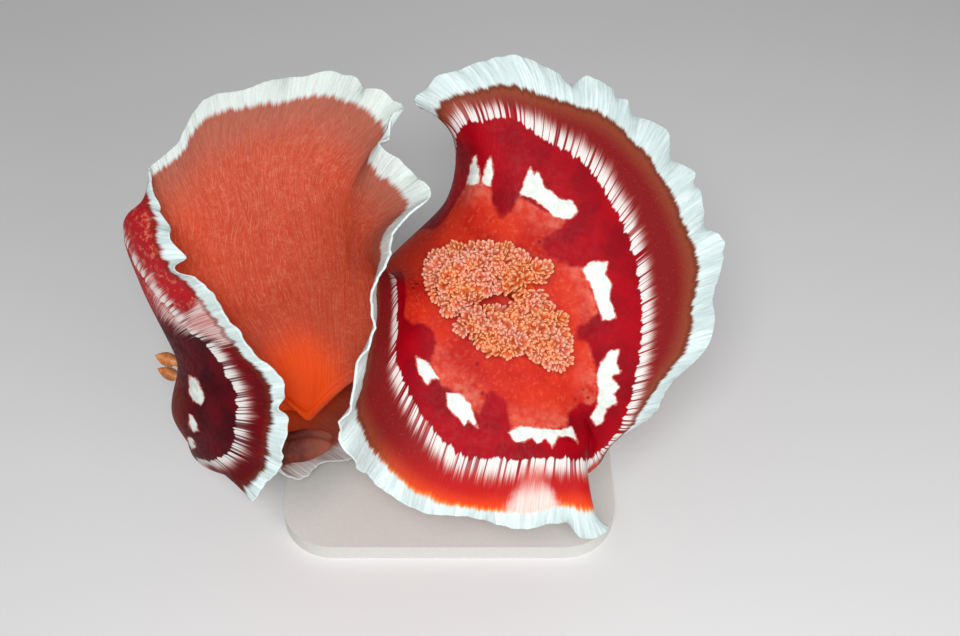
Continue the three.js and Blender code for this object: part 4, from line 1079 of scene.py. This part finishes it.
def build_gills():
    """Six plumes; each floret stands on a stem from the nearest crown."""
    up = np.array([0.0, 0.0, 1.0])
    roots = [back_point(along, left) for along, left, _, _ in GILLS]
    crowns = [np.array([GILL_RING[0] + x, GILL_RING[1] + y, root[2] + CROWN_HEIGHT])
              for (_, _, x, y), (root, _) in zip(GILLS, roots)]
    plumes = [Tubes(7) for _ in GILLS]
    for (root, normal), crown, tubes in zip(roots, crowns, plumes):
        base = crown - up * 5.0
        trunk = [root - normal * 2.5, (root + base) / 2, base, crown - up * 2]
        tubes.add(trunk, TRUNK_RADII, tip=(0.0, 0.25))
    for x, y, inwards in gill_spots():
        flat_apart = [math.hypot(x - crown[0], y - crown[1]) for crown in crowns]
        nearest = int(np.argmin(flat_apart))
        crown, tubes = crowns[nearest], plumes[nearest]
        lumps = 1.5 * math.sin(0.42 * x + 1.3) * math.sin(0.5 * y + 0.4)
        height = FLORET_RISE * (0.5 - math.exp(-inwards / RISE_WIDTH)) + lumps + 1.6 * rng.random()
        centre = np.array([x, y, crown[2] + height - 0.06 * flat_apart[nearest] ** 1.5])
        lean = (centre - crown) * [1, 1, 0]
        outwards = lean / max(flat_apart[nearest], 1.0) * math.exp(-inwards / 4.0)
        scatter = np.array([rng.random() - 0.5, rng.random() - 0.5, 0]) * 0.5
        axis = unit(up + 0.9 * outwards + scatter)
        base = crown - up * 4.5 + lean * 0.25
        end = centre - axis * 0.6
        length = np.linalg.norm(end - base)
        stem = bent(base, unit(end - base), up, length, len(STEM_RADII), 0.04)
        tubes.add(stem, STEM_RADII, tip=(0.1, 0.4))
        floret(tubes, end, axis, FLORET_SIZE * (0.8 + 0.35 * rng.random()))
    return [tubes.build(f"gill_plume_{i + 1}") for i, tubes in enumerate(plumes)]


def build_rhinophore(name, left):
    """A stalk with a club of stacked round leaflets."""
    root, normal = back_point(RHINOPHORE_AT, left)
    tubes = Tubes(24)
    tubes.add([root + normal * h for h in STALK_HEIGHTS], STALK_RADII)
    for f in np.arange(LEAFLETS) / (LEAFLETS - 1):
        wide = LEAFLET_RADIUS * math.sin(math.pi * (0.3 + 0.58 * f))
        heights = LEAFLET_FROM + LEAFLET_SPAN * f + np.array([-LEAFLET_THICK, 0.02, LEAFLET_THICK])
        tubes.add([root + normal * h for h in heights], [wide * 0.9, wide, wide * 0.86], tip=(f, f))
    return tubes.build(name)


def build_tentacle(name, offset):
    """A flat flap with a scalloped outline that narrows quickly at its tip."""
    f = np.linspace(0, 1, 40)
    line = curve_through(np.array(TENTACLE, float) + offset, f * (len(TENTACLE) - 1), False)
    scallops = 1 + 0.1 * np.sin(2 * TENTACLE_SCALLOPS * math.pi * f)
    radii = TENTACLE_WIDTH * (0.7 + 0.6 * np.sin(math.pi * f)) * scallops
    radii *= np.sqrt(np.clip((1 - f) / 0.08, 0.02, 1))
    tubes = Tubes(24)
    tubes.add(line, radii, TENTACLE_FLAT)
    return tubes.build(name)


# Pieces
def dress(piece, paint, slot, *nodes):
    """A piece's material and body, and the nodes that it stands for. The slot argument is not used."""
    piece.data.materials.append(paint)
    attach(piece, "root")
    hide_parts(*nodes)


flesh = [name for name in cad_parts
         if name.startswith(("mantle_", "back_", "foot_")) or name in ("head", "neck", "tail")]
dress(build_skin(), skin_material(), "mantle_skin", *sorted(flesh))

gill_paint = gill_material()
for number, plume in enumerate(build_gills(), 1):
    dress(plume, gill_paint, "gill", f"gill_{number}")

horn_paint = horn_material()
for name, left in (("rhinophore_left", RHINOPHORE_SIDE), ("rhinophore_right", -RHINOPHORE_SIDE)):
    dress(build_rhinophore(name + "_club", left), horn_paint, "rhinophore", name)

tentacle_paint = tentacle_material()
for name, offset in (("oral_tentacle_left", (0, 0, 0)), ("oral_tentacle_right", RIGHT_TENTACLE)):
    dress(build_tentacle(name + "_flap", offset), tentacle_paint, "underside_skin", name)

steel_paint = steel_material()
stand = {"stand_rod_front": steel_paint, "stand_rod_rear": steel_paint, "stand_base": base_material()}
for name, paint in stand.items():
    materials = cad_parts[name].data.materials
    materials.clear()
    materials.append(paint)


# Floor, lights and camera
FLOOR_HALF = 6.0
LIGHT_AIM = (0.0, 0.0, 0.11)
ROOM_LIGHT = 0.28
SENSOR_WIDTH = 36


def area_light(name, place, width, power):
    light = bpy.data.lights.new(name, "AREA")
    light.shape = "DISK"
    light.size = width
    light.energy = power
    obj = add_object(name, light)
    obj.location = place
    obj.rotation_euler = (Vector(LIGHT_AIM) - Vector(place)).to_track_quat("-Z", "Y").to_euler()


corners = np.array([(-1, -1, 0), (1, -1, 0), (1, 1, 0), (-1, 1, 0)]) * FLOOR_HALF
ground = make_mesh("floor", corners, [(0, 1, 2, 3)])
ground.data.materials.append(floor_material())
area_light("key", (-0.12, -0.66, 0.92), 0.35, 4.8)
area_light("front", (0.05, -0.58, 0.71), 0.15, 2.6)
area_light("fill", (0.5, -0.72, 0.5), 0.6, 2.8)
world = bpy.context.scene.world = bpy.data.worlds.new("studio")
world.use_nodes = True
background = world.node_tree.nodes["Background"].inputs
background[0].default_value, background[1].default_value = (1, 1, 1, 1), ROOM_LIGHT
bpy.context.scene.view_settings.view_transform = "Standard"

camera = bpy.data.cameras.new("camera")
camera.sensor_width = SENSOR_WIDTH
camera.lens = SENSOR_WIDTH * FOCAL_PX / IMAGE[0]
camera.clip_start = 0.01
viewer = add_object("camera", camera)
viewer.location = to_world(np.array([0.0, 0.0, CAMERA_DISTANCE]))
viewer.rotation_euler = (math.pi / 2 - TILT, 0, 0)
bpy.context.scene.camera = viewer
